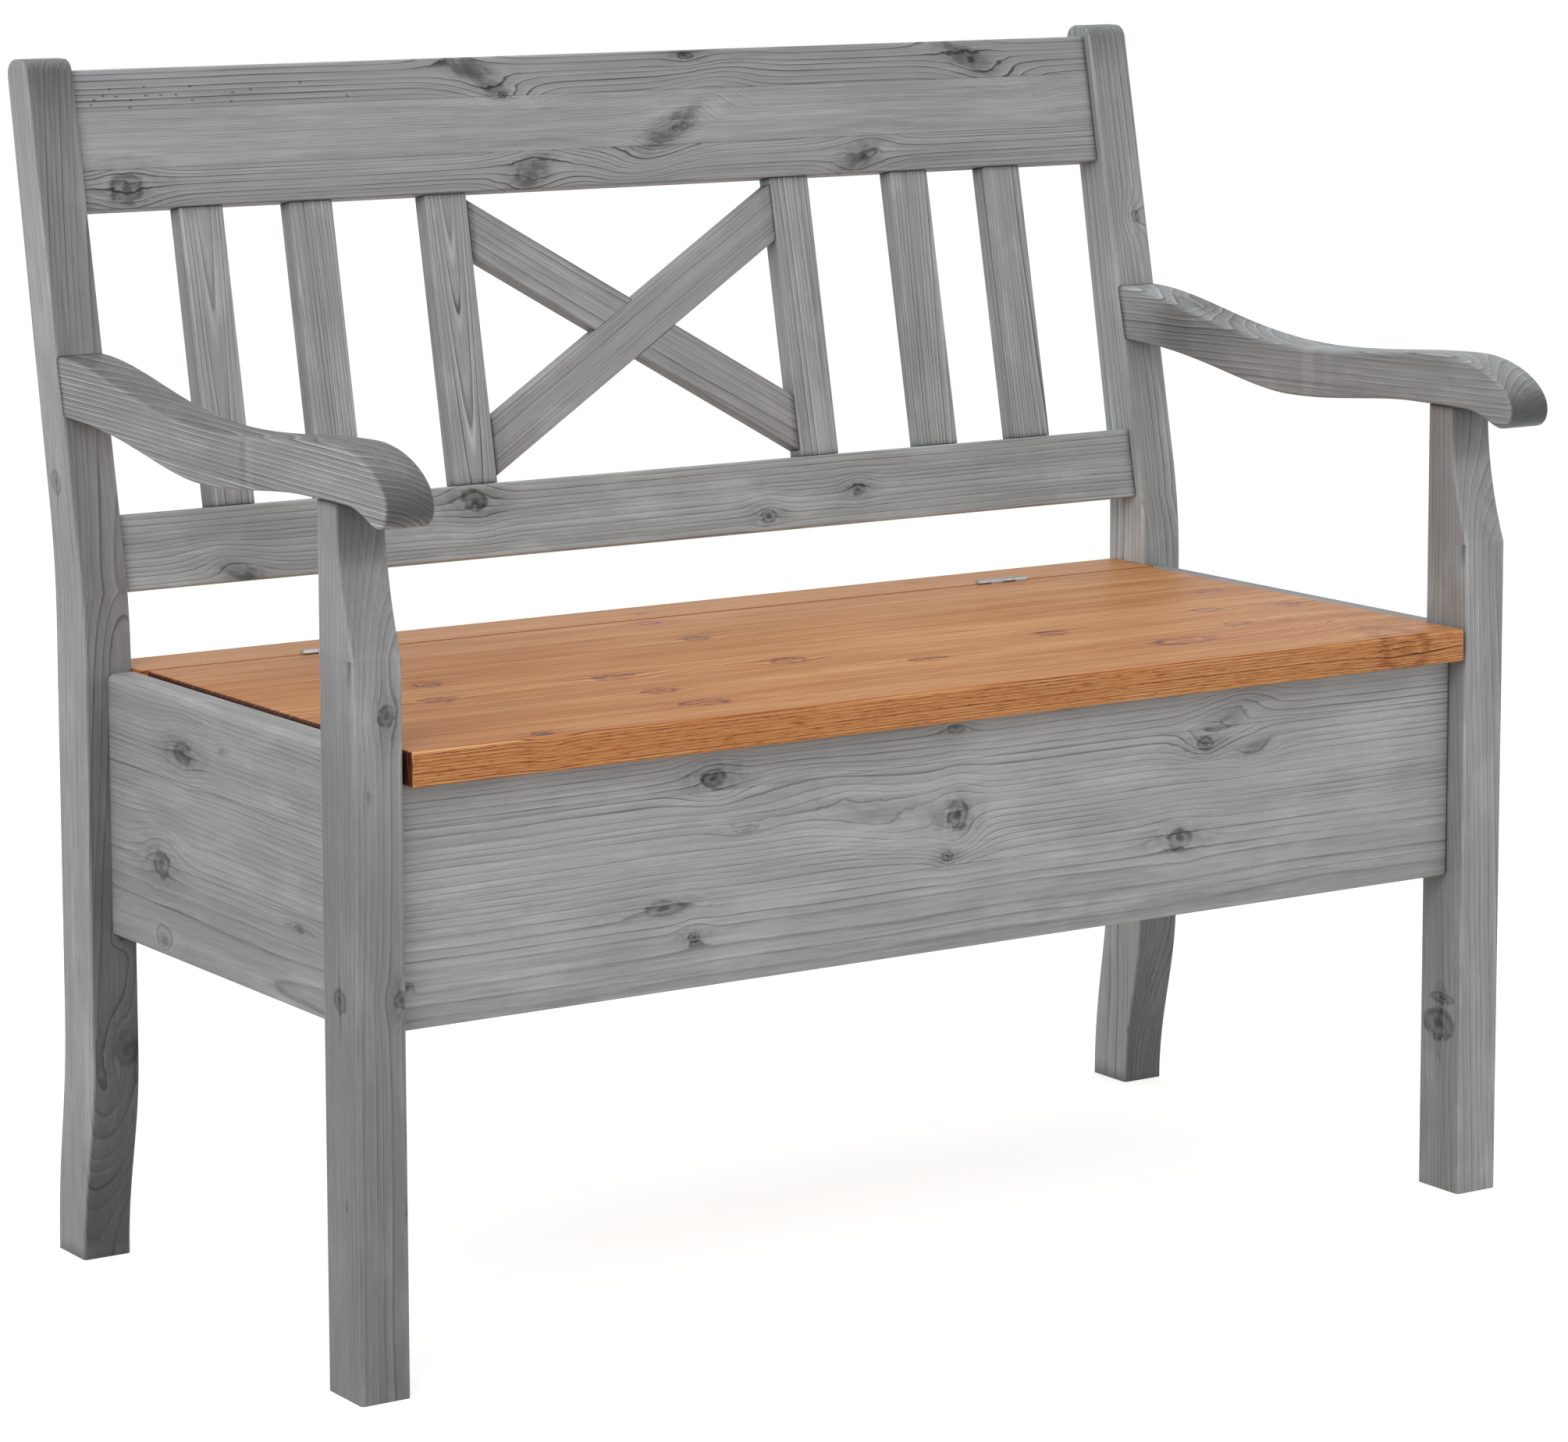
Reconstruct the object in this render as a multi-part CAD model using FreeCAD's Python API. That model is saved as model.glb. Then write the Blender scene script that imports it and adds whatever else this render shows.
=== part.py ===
import FreeCAD, Part
import math
import os

os.makedirs("parts", exist_ok=True)
V = FreeCAD.Vector

# Overall sizes, in millimetres: X is the width, Y the depth with the front at minus Y, Z is up
bench_width = 1060.0
bench_depth = 597.0
back_height = 936.5
seat_height = 470.0

# Legs and rear posts
leg_width = 40.0
leg_depth = 50.0
leg_neck_depth = 28.5
leg_neck_length = 110.0
leg_setback = 50.5
leg_shoulder_radius = 1.5
post_depth = 51.0
foot_depth = 46.5
foot_kick = 22.5
foot_front_curve_height = 165.0
foot_rear_curve_height = 200.0
post_bend_height = 515.5
post_rear_bend_height = 551.0
post_bend_run = 46.0
post_front_rake = 11.5
post_rear_rake = 10.25
post_top_radius = 12.0
leg_edge_radius = 2.5

# Armrests
arm_low_height = 635.5
arm_rise = 76.0
arm_edge_radius = 3.0
arm_flat_length = 62.0
arm_flat_front = 40.0

# Backrest
rail_recess = 8.0
rail_thickness = 24.0
top_rail_height = 110.5
top_rail_drop = 9.0
lower_rail_height = 59.7
lower_rail_gap = 58.5
slat_width = 38.5
slat_thickness = 18.0
slat_recess = 2.5
inner_slat_centre = 166.5
middle_slat_centre = 289.5
outer_slat_centre = 387.0
brace_width = 40.0
brace_thickness = 15.0
brace_recess = 1.0
brace_end_gap = 5.5
brace_edge_radius = 1.0
rail_edge_radius = 2.0

# Chest
board_thickness = 22.0
panel_underside = 264.0
front_panel_recess = 18.2
back_panel_recess = 18.0
side_panel_rim_drop = 2.0
panel_top_radius = 6.0
panel_end_radius = 3.0
cleat_size = 20.0
bottom_thickness = 9.0
bottom_gap = 0.5
hinge_rail_height = 20.0
hinge_rail_depth = 23.0

# Seat
seat_thickness = 26.0
lid_side_gap = 4.0
lid_overhang = 4.0
strip_depth = 60.0
strip_setback = 6.0
strip_end_gap = 0.5
lid_rear_gap = 2.0
seat_edge_radius = 3.0
batten_width = 60.0
batten_thickness = 18.0
batten_centre = 290.0
batten_front_gap = 14.0
batten_rear_gap = 40.0

# Hinges
hinge_centre = 325.0
hinge_length = 50.0
hinge_knuckles = 4
knuckle_radius = 2.5
knuckle_gap = 0.3
pin_radius = 1.3
pin_head_radius = 2.2
pin_head_height = 0.8
pin_clearance = 0.05
hinge_axis_lift = 1.2
leaf_thickness = 1.2
leaf_height = 15.0
leaf_neck = 0.8
barrel_clearance = 0.5
mortise_clearance = 0.3

# Fasteners
dowel_radius = 5.0
dowel_length = 40.0
small_dowel_radius = 4.0
small_dowel_length = 30.0
brace_dowel_radius = 3.0
brace_dowel_length = 24.0
dowel_clearance = 0.05
dowel_end_gap = 1.0
screw_radius = 2.0
screw_head_radius = 4.0
screw_length = 35.0
hinge_screw_radius = 1.5
hinge_screw_length = 15.0
screw_clearance = 0.05
overrun = 5.0
match_tolerance = 0.005
parallel_tolerance_degrees = 1.0

# Shares: armrest curves, each point as (share of its length from post to nose, share of its rise)
arm_rear_shares = ((0, 1), (0.15, 1), (0.27, 0.575), (0.5, 0.575))
arm_hand_shares = ((0.5, 0.575), (0.62, 0.575), (0.75, 0.7), (0.85, 0.7))
arm_nose_shares = ((0.85, 0.7), (0.93, 0.7), (1, 0.45), (1, 0.19))
arm_lip_shares = ((1, 0.19), (1, 0.07), (0.989, 0), (0.972, 0))
arm_chin_shares = ((0.972, 0), (0.952, 0))
arm_belly_shares = ((0.58, 0.03), (0.46, 0.03))
arm_root_shares = ((0.46, 0.03), (0.335, 0.03), (0.215, 0.388), (0, 0.388))
arm_flat_share = 0.155
arm_flat_pull_share = 0.5
foot_pull_share = 0.38
heel_pull_share = 0.425
rail_dowel_shares = (0.25, 0.75)
end_dowel_shares = (0.14, 0.5, 0.86)
side_dowel_shares = (0.27, 0.66)
lap_reach_share = 1.5
crown_limit_share = 0.45

# Counts
side_cleat_screw_count = 3
long_cleat_screw_count = 5
batten_screw_count = 3
hinge_leaf_screw_count = 3

# Derived places
half_width = bench_width / 2
inner_x = half_width - leg_width
front_y = -bench_depth / 2
rear_y = bench_depth / 2
front_tan = math.tan(math.radians(post_front_rake))
rear_tan = math.tan(math.radians(post_rear_rake))
rear_cos = math.cos(math.radians(post_rear_rake))
rear_sin = math.sin(math.radians(post_rear_rake))
rear_line_reach = (back_height - post_top_radius - post_rear_bend_height) * rear_tan
post_rear_y = rear_y - rear_line_reach + post_top_radius * (1 / rear_cos - 1)
post_front_y = post_rear_y - post_depth
foot_front_y = post_front_y + foot_kick
leg_front_y = front_y + leg_setback
leg_rear_y = leg_front_y + leg_depth
neck_front_y = leg_rear_y - leg_neck_depth
leg_top = arm_low_height + arm_flat_share * arm_rise
notch_height = leg_top - leg_neck_length
seat_underside = seat_height - seat_thickness
panel_front_y = leg_front_y + front_panel_recess
panel_inner_y = panel_front_y + board_thickness
back_panel_y = post_rear_y - back_panel_recess
back_panel_inner_y = back_panel_y - board_thickness
strip_rear_y = post_rear_y - strip_setback
strip_front_y = strip_rear_y - strip_depth
hinge_y = strip_front_y - lid_rear_gap / 2
hinge_z = seat_height + hinge_axis_lift
lid_rear_y = strip_front_y - lid_rear_gap
lid_front_y = leg_front_y - lid_overhang
lid_half_width = inner_x - lid_side_gap
strip_half_width = inner_x - strip_end_gap
sides = (("left", -1), ("right", 1))
slat_centres = [-outer_slat_centre, -middle_slat_centre, -inner_slat_centre,
                inner_slat_centre, middle_slat_centre, outer_slat_centre]

# The raked plane of the backrest: its origin lies on the posts' front face at the bend
rake_sin = math.sin(math.radians(post_front_rake))
rake_cos = math.cos(math.radians(post_front_rake))
rake_up = V(0, rake_sin, rake_cos)
rake_back = V(0, rake_cos, -rake_sin)
top_rail_top = (back_height - top_rail_drop - post_bend_height + rail_recess * rake_sin) / rake_cos
top_rail_bottom = top_rail_top - top_rail_height
lower_rail_lift = seat_height + lower_rail_gap - post_bend_height
lower_rail_bottom = (lower_rail_lift + rail_recess * rake_sin) / rake_cos
lower_rail_top = lower_rail_bottom + lower_rail_height
back_opening = top_rail_bottom - lower_rail_top


def rake_point(x, up, back):
    # A point given by its place across, up along the rake, and square behind the posts' front face
    y = post_front_y + up * rake_sin + back * rake_cos
    z = post_bend_height + up * rake_cos - back * rake_sin
    return V(x, y, z)


def box(low, high):
    size = [b - a for a, b in zip(low, high)]
    return Part.makeBox(*size, V(*low))


def prism(edges, x_low, x_high):
    # A closed outline in the YZ plane, extruded across
    face = Part.Face(Part.Wire(Part.__sortEdges__(edges)))
    face.translate(V(x_low, 0, 0))
    return face.extrude(V(x_high - x_low, 0, 0))


def yz(y, z):
    return V(0, y, z)


def line(a, b):
    return Part.LineSegment(a, b).toShape()


def bezier(points):
    curve = Part.BezierCurve()
    curve.setPoles(points)
    return curve.toShape()


def edges_where(shape, test):
    return [edge for edge in shape.Edges if test(edge.BoundBox)]


def near(a, b):
    return abs(a - b) < match_tolerance


def along_x(bounds):
    return near(bounds.YMin, bounds.YMax) and near(bounds.ZMin, bounds.ZMax)


def soften_outline(shape, radius, x_low):
    # Rounds both long outlines of a shaped bar, but not the flat ends that lie level
    def wanted(bounds):
        on_side = near(bounds.XMin, bounds.XMax)
        on_side = on_side and (near(bounds.XMin, x_low) or near(bounds.XMin, x_low + leg_width))
        level = near(bounds.ZMin, bounds.ZMax)
        return on_side and not level
    return shape.makeFillet(radius, edges_where(shape, wanted))


def soften_along(shape, radius, direction):
    # Rounds the four long edges of a plain bar
    found = []
    for edge in shape.Edges:
        run = edge.Vertexes[1].Point - edge.Vertexes[0].Point
        if abs(run.normalize().dot(direction)) > math.cos(math.radians(parallel_tolerance_degrees)):
            found.append(edge)
    return shape.makeFillet(radius, found)


def cylinder(start, direction, radius, length):
    return Part.makeCylinder(radius, length, start, direction)


def spread(low, high, count):
    # Evenly spaced places, half a space in from each end
    return [low + (high - low) * (i + 0.5) / count for i in range(count)]


def at_shares(low, high, shares):
    return [low + (high - low) * share for share in shares]


# Pieces under construction, by node name; groups hold several loose solids
pieces = {}
groups = {}


def dowel(group, names, centre, direction, radius, length):
    # A dowel centred on a joint, with a blind hole for it in both pieces
    unit = V(direction).normalize()
    start = centre - unit * (length / 2)
    groups.setdefault(group, []).append(cylinder(start, unit, radius, length))
    hole_start = start - unit * dowel_end_gap
    hole = cylinder(hole_start, unit, radius + dowel_clearance, length + 2 * dowel_end_gap)
    for name in names:
        pieces[name] = pieces[name].cut(hole)


def countersunk(start, direction, radius, head_radius, length, extra):
    # A screw whose head lies flush at start; extra widens it into the hole that it needs
    unit = V(direction).normalize()
    head_height = head_radius - radius
    head = Part.makeCone(head_radius + extra, radius + extra, head_height, start, unit)
    shank = cylinder(start, unit, radius + extra, length + extra)
    return head.fuse(shank).removeSplitter()


def screw(group, names, start, direction, sizes):
    radius, head_radius, length = sizes
    groups.setdefault(group, []).append(countersunk(start, direction, radius, head_radius, length, 0))
    hole = countersunk(start, direction, radius, head_radius, length, screw_clearance)
    for name in names:
        pieces[name] = pieces[name].cut(hole)


def front_leg(x_low):
    # Square leg; above the notch its front steps back in a hollow curve to a thinner neck
    notch = yz(leg_front_y, notch_height)
    neck = yz(neck_front_y, leg_top)
    pull = yz(neck_front_y, notch_height + leg_neck_length / 2)
    outline = [
        line(yz(leg_rear_y, 0), yz(leg_front_y, 0)),
        line(yz(leg_front_y, 0), notch),
        bezier([notch, pull, neck]),
        line(neck, yz(leg_rear_y, leg_top)),
        line(yz(leg_rear_y, leg_top), yz(leg_rear_y, 0)),
    ]
    leg = prism(outline, x_low, x_low + leg_width)
    shoulder = edges_where(leg, lambda bounds: along_x(bounds) and near(bounds.ZMin, notch_height))
    leg = leg.makeFillet(leg_shoulder_radius, shoulder)
    return soften_outline(leg, leg_edge_radius, x_low)


def rear_post(x_low):
    # Front face: foot curve, upright, bend, raked line; then the rounded top and back down
    foot_z = foot_front_curve_height
    foot_curve = [yz(foot_front_y, 0), yz(foot_front_y, foot_z * foot_pull_share),
                  yz(post_front_y, foot_z * (1 - foot_pull_share)), yz(post_front_y, foot_z)]
    bend_low = yz(post_front_y, post_bend_height - post_bend_run)
    bend = yz(post_front_y, post_bend_height)
    bend_high = yz(post_front_y + post_bend_run * rake_sin, post_bend_height + post_bend_run * rake_cos)
    top_front = yz(post_front_y + (back_height - post_bend_height) * front_tan, back_height)
    top_rear = yz(post_rear_y + (back_height - post_rear_bend_height) * rear_tan, back_height)
    rear_bend = yz(post_rear_y, post_rear_bend_height)
    rear_low = yz(post_rear_y, post_rear_bend_height - post_bend_run)
    rear_high = yz(post_rear_y + post_bend_run * rear_sin, post_rear_bend_height + post_bend_run * rear_cos)
    heel_y = foot_front_y + foot_depth
    heel_z = foot_rear_curve_height
    heel_curve = [yz(post_rear_y, heel_z), yz(post_rear_y, heel_z * (1 - heel_pull_share)),
                  yz(heel_y, heel_z * heel_pull_share), yz(heel_y, 0)]
    outline = [
        bezier(foot_curve),
        line(yz(post_front_y, foot_z), bend_low),
        bezier([bend_low, bend, bend_high]),
        line(bend_high, top_front),
        line(top_front, top_rear),
        line(top_rear, rear_high),
        bezier([rear_high, rear_bend, rear_low]),
        line(rear_low, yz(post_rear_y, heel_z)),
        bezier(heel_curve),
        line(yz(heel_y, 0), yz(foot_front_y, 0)),
    ]
    post = prism(outline, x_low, x_low + leg_width)
    crown = edges_where(post, lambda bounds: along_x(bounds) and near(bounds.ZMin, back_height))
    crown_radius = min(post_top_radius, (top_rear.y - top_front.y) * crown_limit_share)
    post = post.makeFillet(crown_radius, crown)
    return soften_outline(post, leg_edge_radius, x_low)


def armrest(x_low, post):
    # Outline from inside the post along the top to the nose, round the lip and back underneath
    face_y = post_front_y + (arm_low_height + arm_rise - post_bend_height) * front_tan
    reach = face_y - front_y
    at = lambda pair: yz(face_y - pair[0] * reach, arm_low_height + pair[1] * arm_rise)
    curve = lambda shares: [at(pair) for pair in shares]
    root_y = face_y + overrun
    flat_front = yz(leg_rear_y - arm_flat_front, leg_top)
    flat_rear = yz(flat_front.y + arm_flat_length, leg_top)
    chin = curve(arm_chin_shares)
    belly = curve(arm_belly_shares)
    chin_pull = yz(flat_front.y + (chin[0].y - flat_front.y) * arm_flat_pull_share, leg_top)
    belly_pull = yz(flat_rear.y + (belly[0].y - flat_rear.y) * arm_flat_pull_share, leg_top)
    top_root = at(arm_rear_shares[0])
    under_root = at(arm_root_shares[-1])
    outline = [
        line(yz(root_y, top_root.z), top_root),
        bezier(curve(arm_rear_shares)),
        bezier(curve(arm_hand_shares)),
        bezier(curve(arm_nose_shares)),
        bezier(curve(arm_lip_shares)),
        bezier(chin + [chin_pull, flat_front]),
        line(flat_front, flat_rear),
        bezier([flat_rear, belly_pull] + belly),
        bezier(curve(arm_root_shares)),
        line(under_root, yz(root_y, under_root.z)),
        line(yz(root_y, under_root.z), yz(root_y, top_root.z)),
    ]
    blank = prism(outline, x_low, x_low + leg_width)
    return soften_arm(blank, x_low, face_y).cut(post)


def soften_arm(blank, x_low, face_y):
    # The flat under the arm, where the leg stands, is level but rounded with the rest
    def wanted(bounds):
        on_side = near(bounds.XMin, x_low) or near(bounds.XMin, x_low + leg_width)
        on_side = on_side and near(bounds.XMin, bounds.XMax)
        return on_side and bounds.YMin < face_y - overrun and bounds.YMax < face_y + overrun
    return blank.makeFillet(arm_edge_radius, edges_where(blank, wanted))


def raked_bar(x_low, x_high, low, high, recess, thickness, radius):
    # A bar in the plane of the backrest, between two heights measured up the rake
    corners = [rake_point(x_low, up, back) for up, back in
               ((low, recess), (high, recess), (high, recess + thickness), (low, recess + thickness))]
    face = Part.Face(Part.makePolygon(corners + corners[:1]))
    bar = face.extrude(V(x_high - x_low, 0, 0))
    lies_across = x_high - x_low > high - low
    return soften_along(bar, radius, V(1, 0, 0) if lies_across else rake_up)


def cross_brace(rising):
    # A diagonal between the inner slats, cut upright at both ends, half of it lapped at the middle
    half_run = inner_slat_centre - slat_width / 2
    half_rise = back_opening / 2 - brace_end_gap
    radius = math.hypot(half_rise, half_run)
    slope = math.acos(brace_width / 2 / radius) - math.atan2(half_run, half_rise)
    middle = (top_rail_bottom + lower_rail_top) / 2
    upright = brace_width / 2 / math.cos(slope)
    sign = 1 if rising else -1
    end_rise = half_run * math.tan(slope) * sign
    recess = rail_recess + slat_recess + brace_recess
    corners = [(-half_run, -end_rise - upright), (half_run, end_rise - upright),
               (half_run, end_rise + upright), (-half_run, -end_rise + upright)]
    points = [rake_point(x, middle + up, recess) for x, up in corners]
    bar = Part.Face(Part.makePolygon(points + points[:1])).extrude(rake_back * brace_thickness)
    along = V(math.cos(slope), 0, 0) + rake_up * (math.sin(slope) * sign)
    return soften_along(bar, brace_edge_radius, along), slope


def half_lap(bar, other_slope, take_front):
    # Cuts away one half of the thickness where the other diagonal crosses
    middle = (top_rail_bottom + lower_rail_top) / 2
    recess = rail_recess + slat_recess + brace_recess
    along = V(math.cos(other_slope), 0, 0) + rake_up * math.sin(other_slope)
    across = V(-math.sin(other_slope), 0, 0) + rake_up * math.cos(other_slope)
    start = recess - overrun if take_front else recess + brace_thickness / 2
    centre = rake_point(0, middle, start)
    reach = brace_width * lap_reach_share
    points = [centre + along * (a * reach) + across * (b * brace_width / 2)
              for a, b in ((-1, -1), (1, -1), (1, 1), (-1, 1))]
    face = Part.Face(Part.makePolygon(points + points[:1]))
    return bar.cut(face.extrude(rake_back * (brace_thickness / 2 + overrun)))


def build_backrest():
    pieces["top_rail"] = raked_bar(-inner_x, inner_x, top_rail_bottom, top_rail_top,
                                   rail_recess, rail_thickness, rail_edge_radius)
    pieces["lower_rail"] = raked_bar(-inner_x, inner_x, lower_rail_bottom, lower_rail_top,
                                     rail_recess, rail_thickness, rail_edge_radius)
    for index, centre in enumerate(slat_centres):
        pieces[f"back_slat_{index + 1}"] = raked_bar(
            centre - slat_width / 2, centre + slat_width / 2, lower_rail_top, top_rail_bottom,
            rail_recess + slat_recess, slat_thickness, rail_edge_radius)
    rising, slope = cross_brace(True)
    falling, slope = cross_brace(False)
    pieces["cross_brace_rising"] = half_lap(rising, -slope, False)
    pieces["cross_brace_falling"] = half_lap(falling, slope, True)
    return slope


def dowel_backrest(slope):
    # Rails into the posts, slats into the rails, diagonals into the two inner slats
    middle_back = rail_recess + rail_thickness / 2
    for side, sign in sides:
        for rail, low, high in (("top_rail", top_rail_bottom, top_rail_top),
                                ("lower_rail", lower_rail_bottom, lower_rail_top)):
            for up in at_shares(low, high, rail_dowel_shares):
                centre = rake_point(sign * inner_x, up, middle_back)
                dowel("rail_dowels", [rail, f"rear_post_{side}"], centre, V(sign, 0, 0),
                      dowel_radius, dowel_length)
    slat_back = rail_recess + slat_recess + slat_thickness / 2
    for index, centre in enumerate(slat_centres):
        for rail, up in (("lower_rail", lower_rail_top), ("top_rail", top_rail_bottom)):
            dowel("slat_dowels", [rail, f"back_slat_{index + 1}"], rake_point(centre, up, slat_back),
                  rake_up, small_dowel_radius, small_dowel_length)
    brace_back = rail_recess + slat_recess + brace_recess + brace_thickness / 2
    half_run = inner_slat_centre - slat_width / 2
    middle = (top_rail_bottom + lower_rail_top) / 2
    for brace, lift in (("cross_brace_rising", 1), ("cross_brace_falling", -1)):
        for slat, sign in (("back_slat_3", -1), ("back_slat_4", 1)):
            up = middle + sign * lift * half_run * math.tan(slope)
            dowel("brace_dowels", [brace, slat], rake_point(sign * half_run, up, brace_back),
                  V(sign, 0, 0), brace_dowel_radius, brace_dowel_length)


def build_chest():
    front = box((-inner_x, panel_front_y, panel_underside), (inner_x, panel_inner_y, seat_underside))
    ends = edges_where(front, lambda b: near(b.XMin, b.XMax) and near(b.YMax, panel_front_y))
    front = front.makeFillet(panel_end_radius, ends)
    rim = edges_where(front, lambda b: near(b.ZMin, seat_underside) and near(b.YMax, panel_front_y))
    pieces["front_panel"] = front.makeFillet(panel_top_radius, rim)
    pieces["back_panel"] = box((-inner_x, back_panel_inner_y, panel_underside),
                               (inner_x, back_panel_y, seat_underside))
    for side, sign in sides:
        inner, outer = sign * inner_x, sign * (inner_x + board_thickness)
        low_x, high_x = min(inner, outer), max(inner, outer)
        rim_height = seat_height - side_panel_rim_drop
        panel = box((low_x, leg_rear_y, panel_underside), (high_x, post_front_y, rim_height))
        edge = edges_where(panel, lambda b: near(b.XMin, outer) and near(b.ZMin, rim_height)
                           and near(b.XMax, outer))
        pieces[f"side_panel_{side}"] = panel.makeFillet(panel_top_radius, edge)
        cleat_low = min(inner, inner - sign * cleat_size)
        pieces[f"side_cleat_{side}"] = box(
            (cleat_low, panel_inner_y + cleat_size, panel_underside),
            (cleat_low + cleat_size, back_panel_inner_y - cleat_size, panel_underside + cleat_size))
    cleat_top = panel_underside + cleat_size
    pieces["front_cleat"] = box((-inner_x, panel_inner_y, panel_underside),
                                (inner_x, panel_inner_y + cleat_size, cleat_top))
    pieces["rear_cleat"] = box((-inner_x, back_panel_inner_y - cleat_size, panel_underside),
                               (inner_x, back_panel_inner_y, cleat_top))
    pieces["bottom_board"] = box(
        (-inner_x + bottom_gap, panel_inner_y + bottom_gap, cleat_top),
        (inner_x - bottom_gap, back_panel_inner_y - bottom_gap, cleat_top + bottom_thickness))
    pieces["hinge_rail"] = box(
        (-inner_x, back_panel_inner_y - hinge_rail_depth, seat_underside - hinge_rail_height),
        (inner_x, back_panel_inner_y, seat_underside))


def fasten_chest():
    wood_screw = (screw_radius, screw_head_radius, screw_length)
    panel_mid_y = panel_front_y + board_thickness / 2
    back_mid_y = back_panel_y - board_thickness / 2
    rim_height = seat_height - side_panel_rim_drop
    cleat_z = panel_underside + cleat_size / 2
    for side, sign in sides:
        for z in at_shares(panel_underside, seat_underside, end_dowel_shares):
            dowel("front_panel_dowels", ["front_panel", f"front_leg_{side}"],
                  V(sign * inner_x, panel_mid_y, z), V(sign, 0, 0), small_dowel_radius, dowel_length)
            dowel("back_panel_dowels", ["back_panel", f"rear_post_{side}"],
                  V(sign * inner_x, back_mid_y, z), V(sign, 0, 0), small_dowel_radius, dowel_length)
        side_x = sign * (inner_x + board_thickness / 2)
        for z in at_shares(panel_underside, rim_height, side_dowel_shares):
            for post, y in ((f"front_leg_{side}", leg_rear_y), (f"rear_post_{side}", post_front_y)):
                dowel("side_panel_dowels", [f"side_panel_{side}", post], V(side_x, y, z),
                      V(0, 1, 0), small_dowel_radius, dowel_length)
        for y in spread(leg_rear_y, post_front_y, side_cleat_screw_count):
            screw("cleat_screws", [f"side_cleat_{side}", f"side_panel_{side}"],
                  V(sign * (inner_x - cleat_size), y, cleat_z), V(sign, 0, 0), wood_screw)
        arm_y = (neck_front_y + leg_rear_y) / 2
        arm_x = sign * (inner_x + leg_width / 2)
        dowel("arm_dowels", [f"armrest_{side}", f"front_leg_{side}"], V(arm_x, arm_y, leg_top),
              V(0, 0, 1), dowel_radius, dowel_length)
        root_z = arm_low_height + (1 + arm_root_shares[-1][1]) / 2 * arm_rise
        root_up = (root_z - post_bend_height) / rake_cos
        dowel("arm_dowels", [f"armrest_{side}", f"rear_post_{side}"], rake_point(arm_x, root_up, 0),
              rake_back, dowel_radius, dowel_length)
    for x in spread(-inner_x, inner_x, long_cleat_screw_count):
        screw("cleat_screws", ["front_cleat", "front_panel"],
              V(x, panel_inner_y + cleat_size, cleat_z), V(0, -1, 0), wood_screw)
        screw("cleat_screws", ["rear_cleat", "back_panel"],
              V(x, back_panel_inner_y - cleat_size, cleat_z), V(0, 1, 0), wood_screw)
        screw("seat_strip_screws", ["hinge_rail", "seat_strip"],
              V(x, back_panel_inner_y - hinge_rail_depth / 2, seat_underside - hinge_rail_height),
              V(0, 0, 1), wood_screw)


def build_seat():
    lid = box((-lid_half_width, lid_front_y, seat_underside), (lid_half_width, lid_rear_y, seat_height))
    rim = edges_where(lid, lambda b: near(b.ZMin, seat_height) and not near(b.YMin, lid_rear_y))
    pieces["seat_lid"] = lid.makeFillet(seat_edge_radius, rim)
    strip = box((-strip_half_width, strip_front_y, seat_underside),
                (strip_half_width, strip_rear_y, seat_height))
    rear = edges_where(strip, lambda b: near(b.ZMin, seat_height) and near(b.YMin, strip_rear_y))
    pieces["seat_strip"] = strip.makeFillet(seat_edge_radius, rear)
    low_y, high_y = panel_inner_y + batten_front_gap, lid_rear_y - batten_rear_gap
    for side, sign in sides:
        low_x = sign * batten_centre - batten_width / 2
        pieces[f"lid_batten_{side}"] = box((low_x, low_y, seat_underside - batten_thickness),
                                           (low_x + batten_width, high_y, seat_underside))
        for y in spread(low_y, high_y, batten_screw_count):
            screw("batten_screws", [f"lid_batten_{side}", "seat_lid"],
                  V(sign * batten_centre, y, seat_underside - batten_thickness), V(0, 0, 1),
                  (screw_radius, screw_head_radius, screw_length))


def hinge_leaf(low_x, toward, first_knuckle):
    # A plate let into the edge beside it, with every second knuckle of the barrel
    outer_y = hinge_y + toward * knuckle_radius
    inner_y = outer_y - toward * leaf_thickness
    low_y, high_y = min(outer_y, inner_y), max(outer_y, inner_y)
    plate_top = hinge_z - knuckle_radius - leaf_neck
    leaf = box((low_x, low_y, plate_top - leaf_height), (low_x + hinge_length, high_y, plate_top))
    pitch = hinge_length / hinge_knuckles
    for index in range(first_knuckle, hinge_knuckles, 2):
        start_x = low_x + index * pitch + knuckle_gap / 2
        end_x = start_x + pitch - knuckle_gap
        leaf = leaf.fuse(box((start_x, low_y, plate_top), (end_x, high_y, hinge_z)))
        knuckle = cylinder(V(start_x, hinge_y, hinge_z), V(1, 0, 0), knuckle_radius, end_x - start_x)
        leaf = leaf.fuse(knuckle)
    bore = cylinder(V(low_x - overrun, hinge_y, hinge_z), V(1, 0, 0), pin_radius + pin_clearance,
                    hinge_length + 2 * overrun)
    return leaf.cut(bore).removeSplitter()


def hinge_pin(low_x):
    # A pin through the barrel, with a flat round head at each end
    pin = cylinder(V(low_x, hinge_y, hinge_z), V(1, 0, 0), pin_radius, hinge_length)
    for x in (low_x - pin_head_height, low_x + hinge_length):
        pin = pin.fuse(cylinder(V(x, hinge_y, hinge_z), V(1, 0, 0), pin_head_radius, pin_head_height))
    return pin.removeSplitter()


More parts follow.
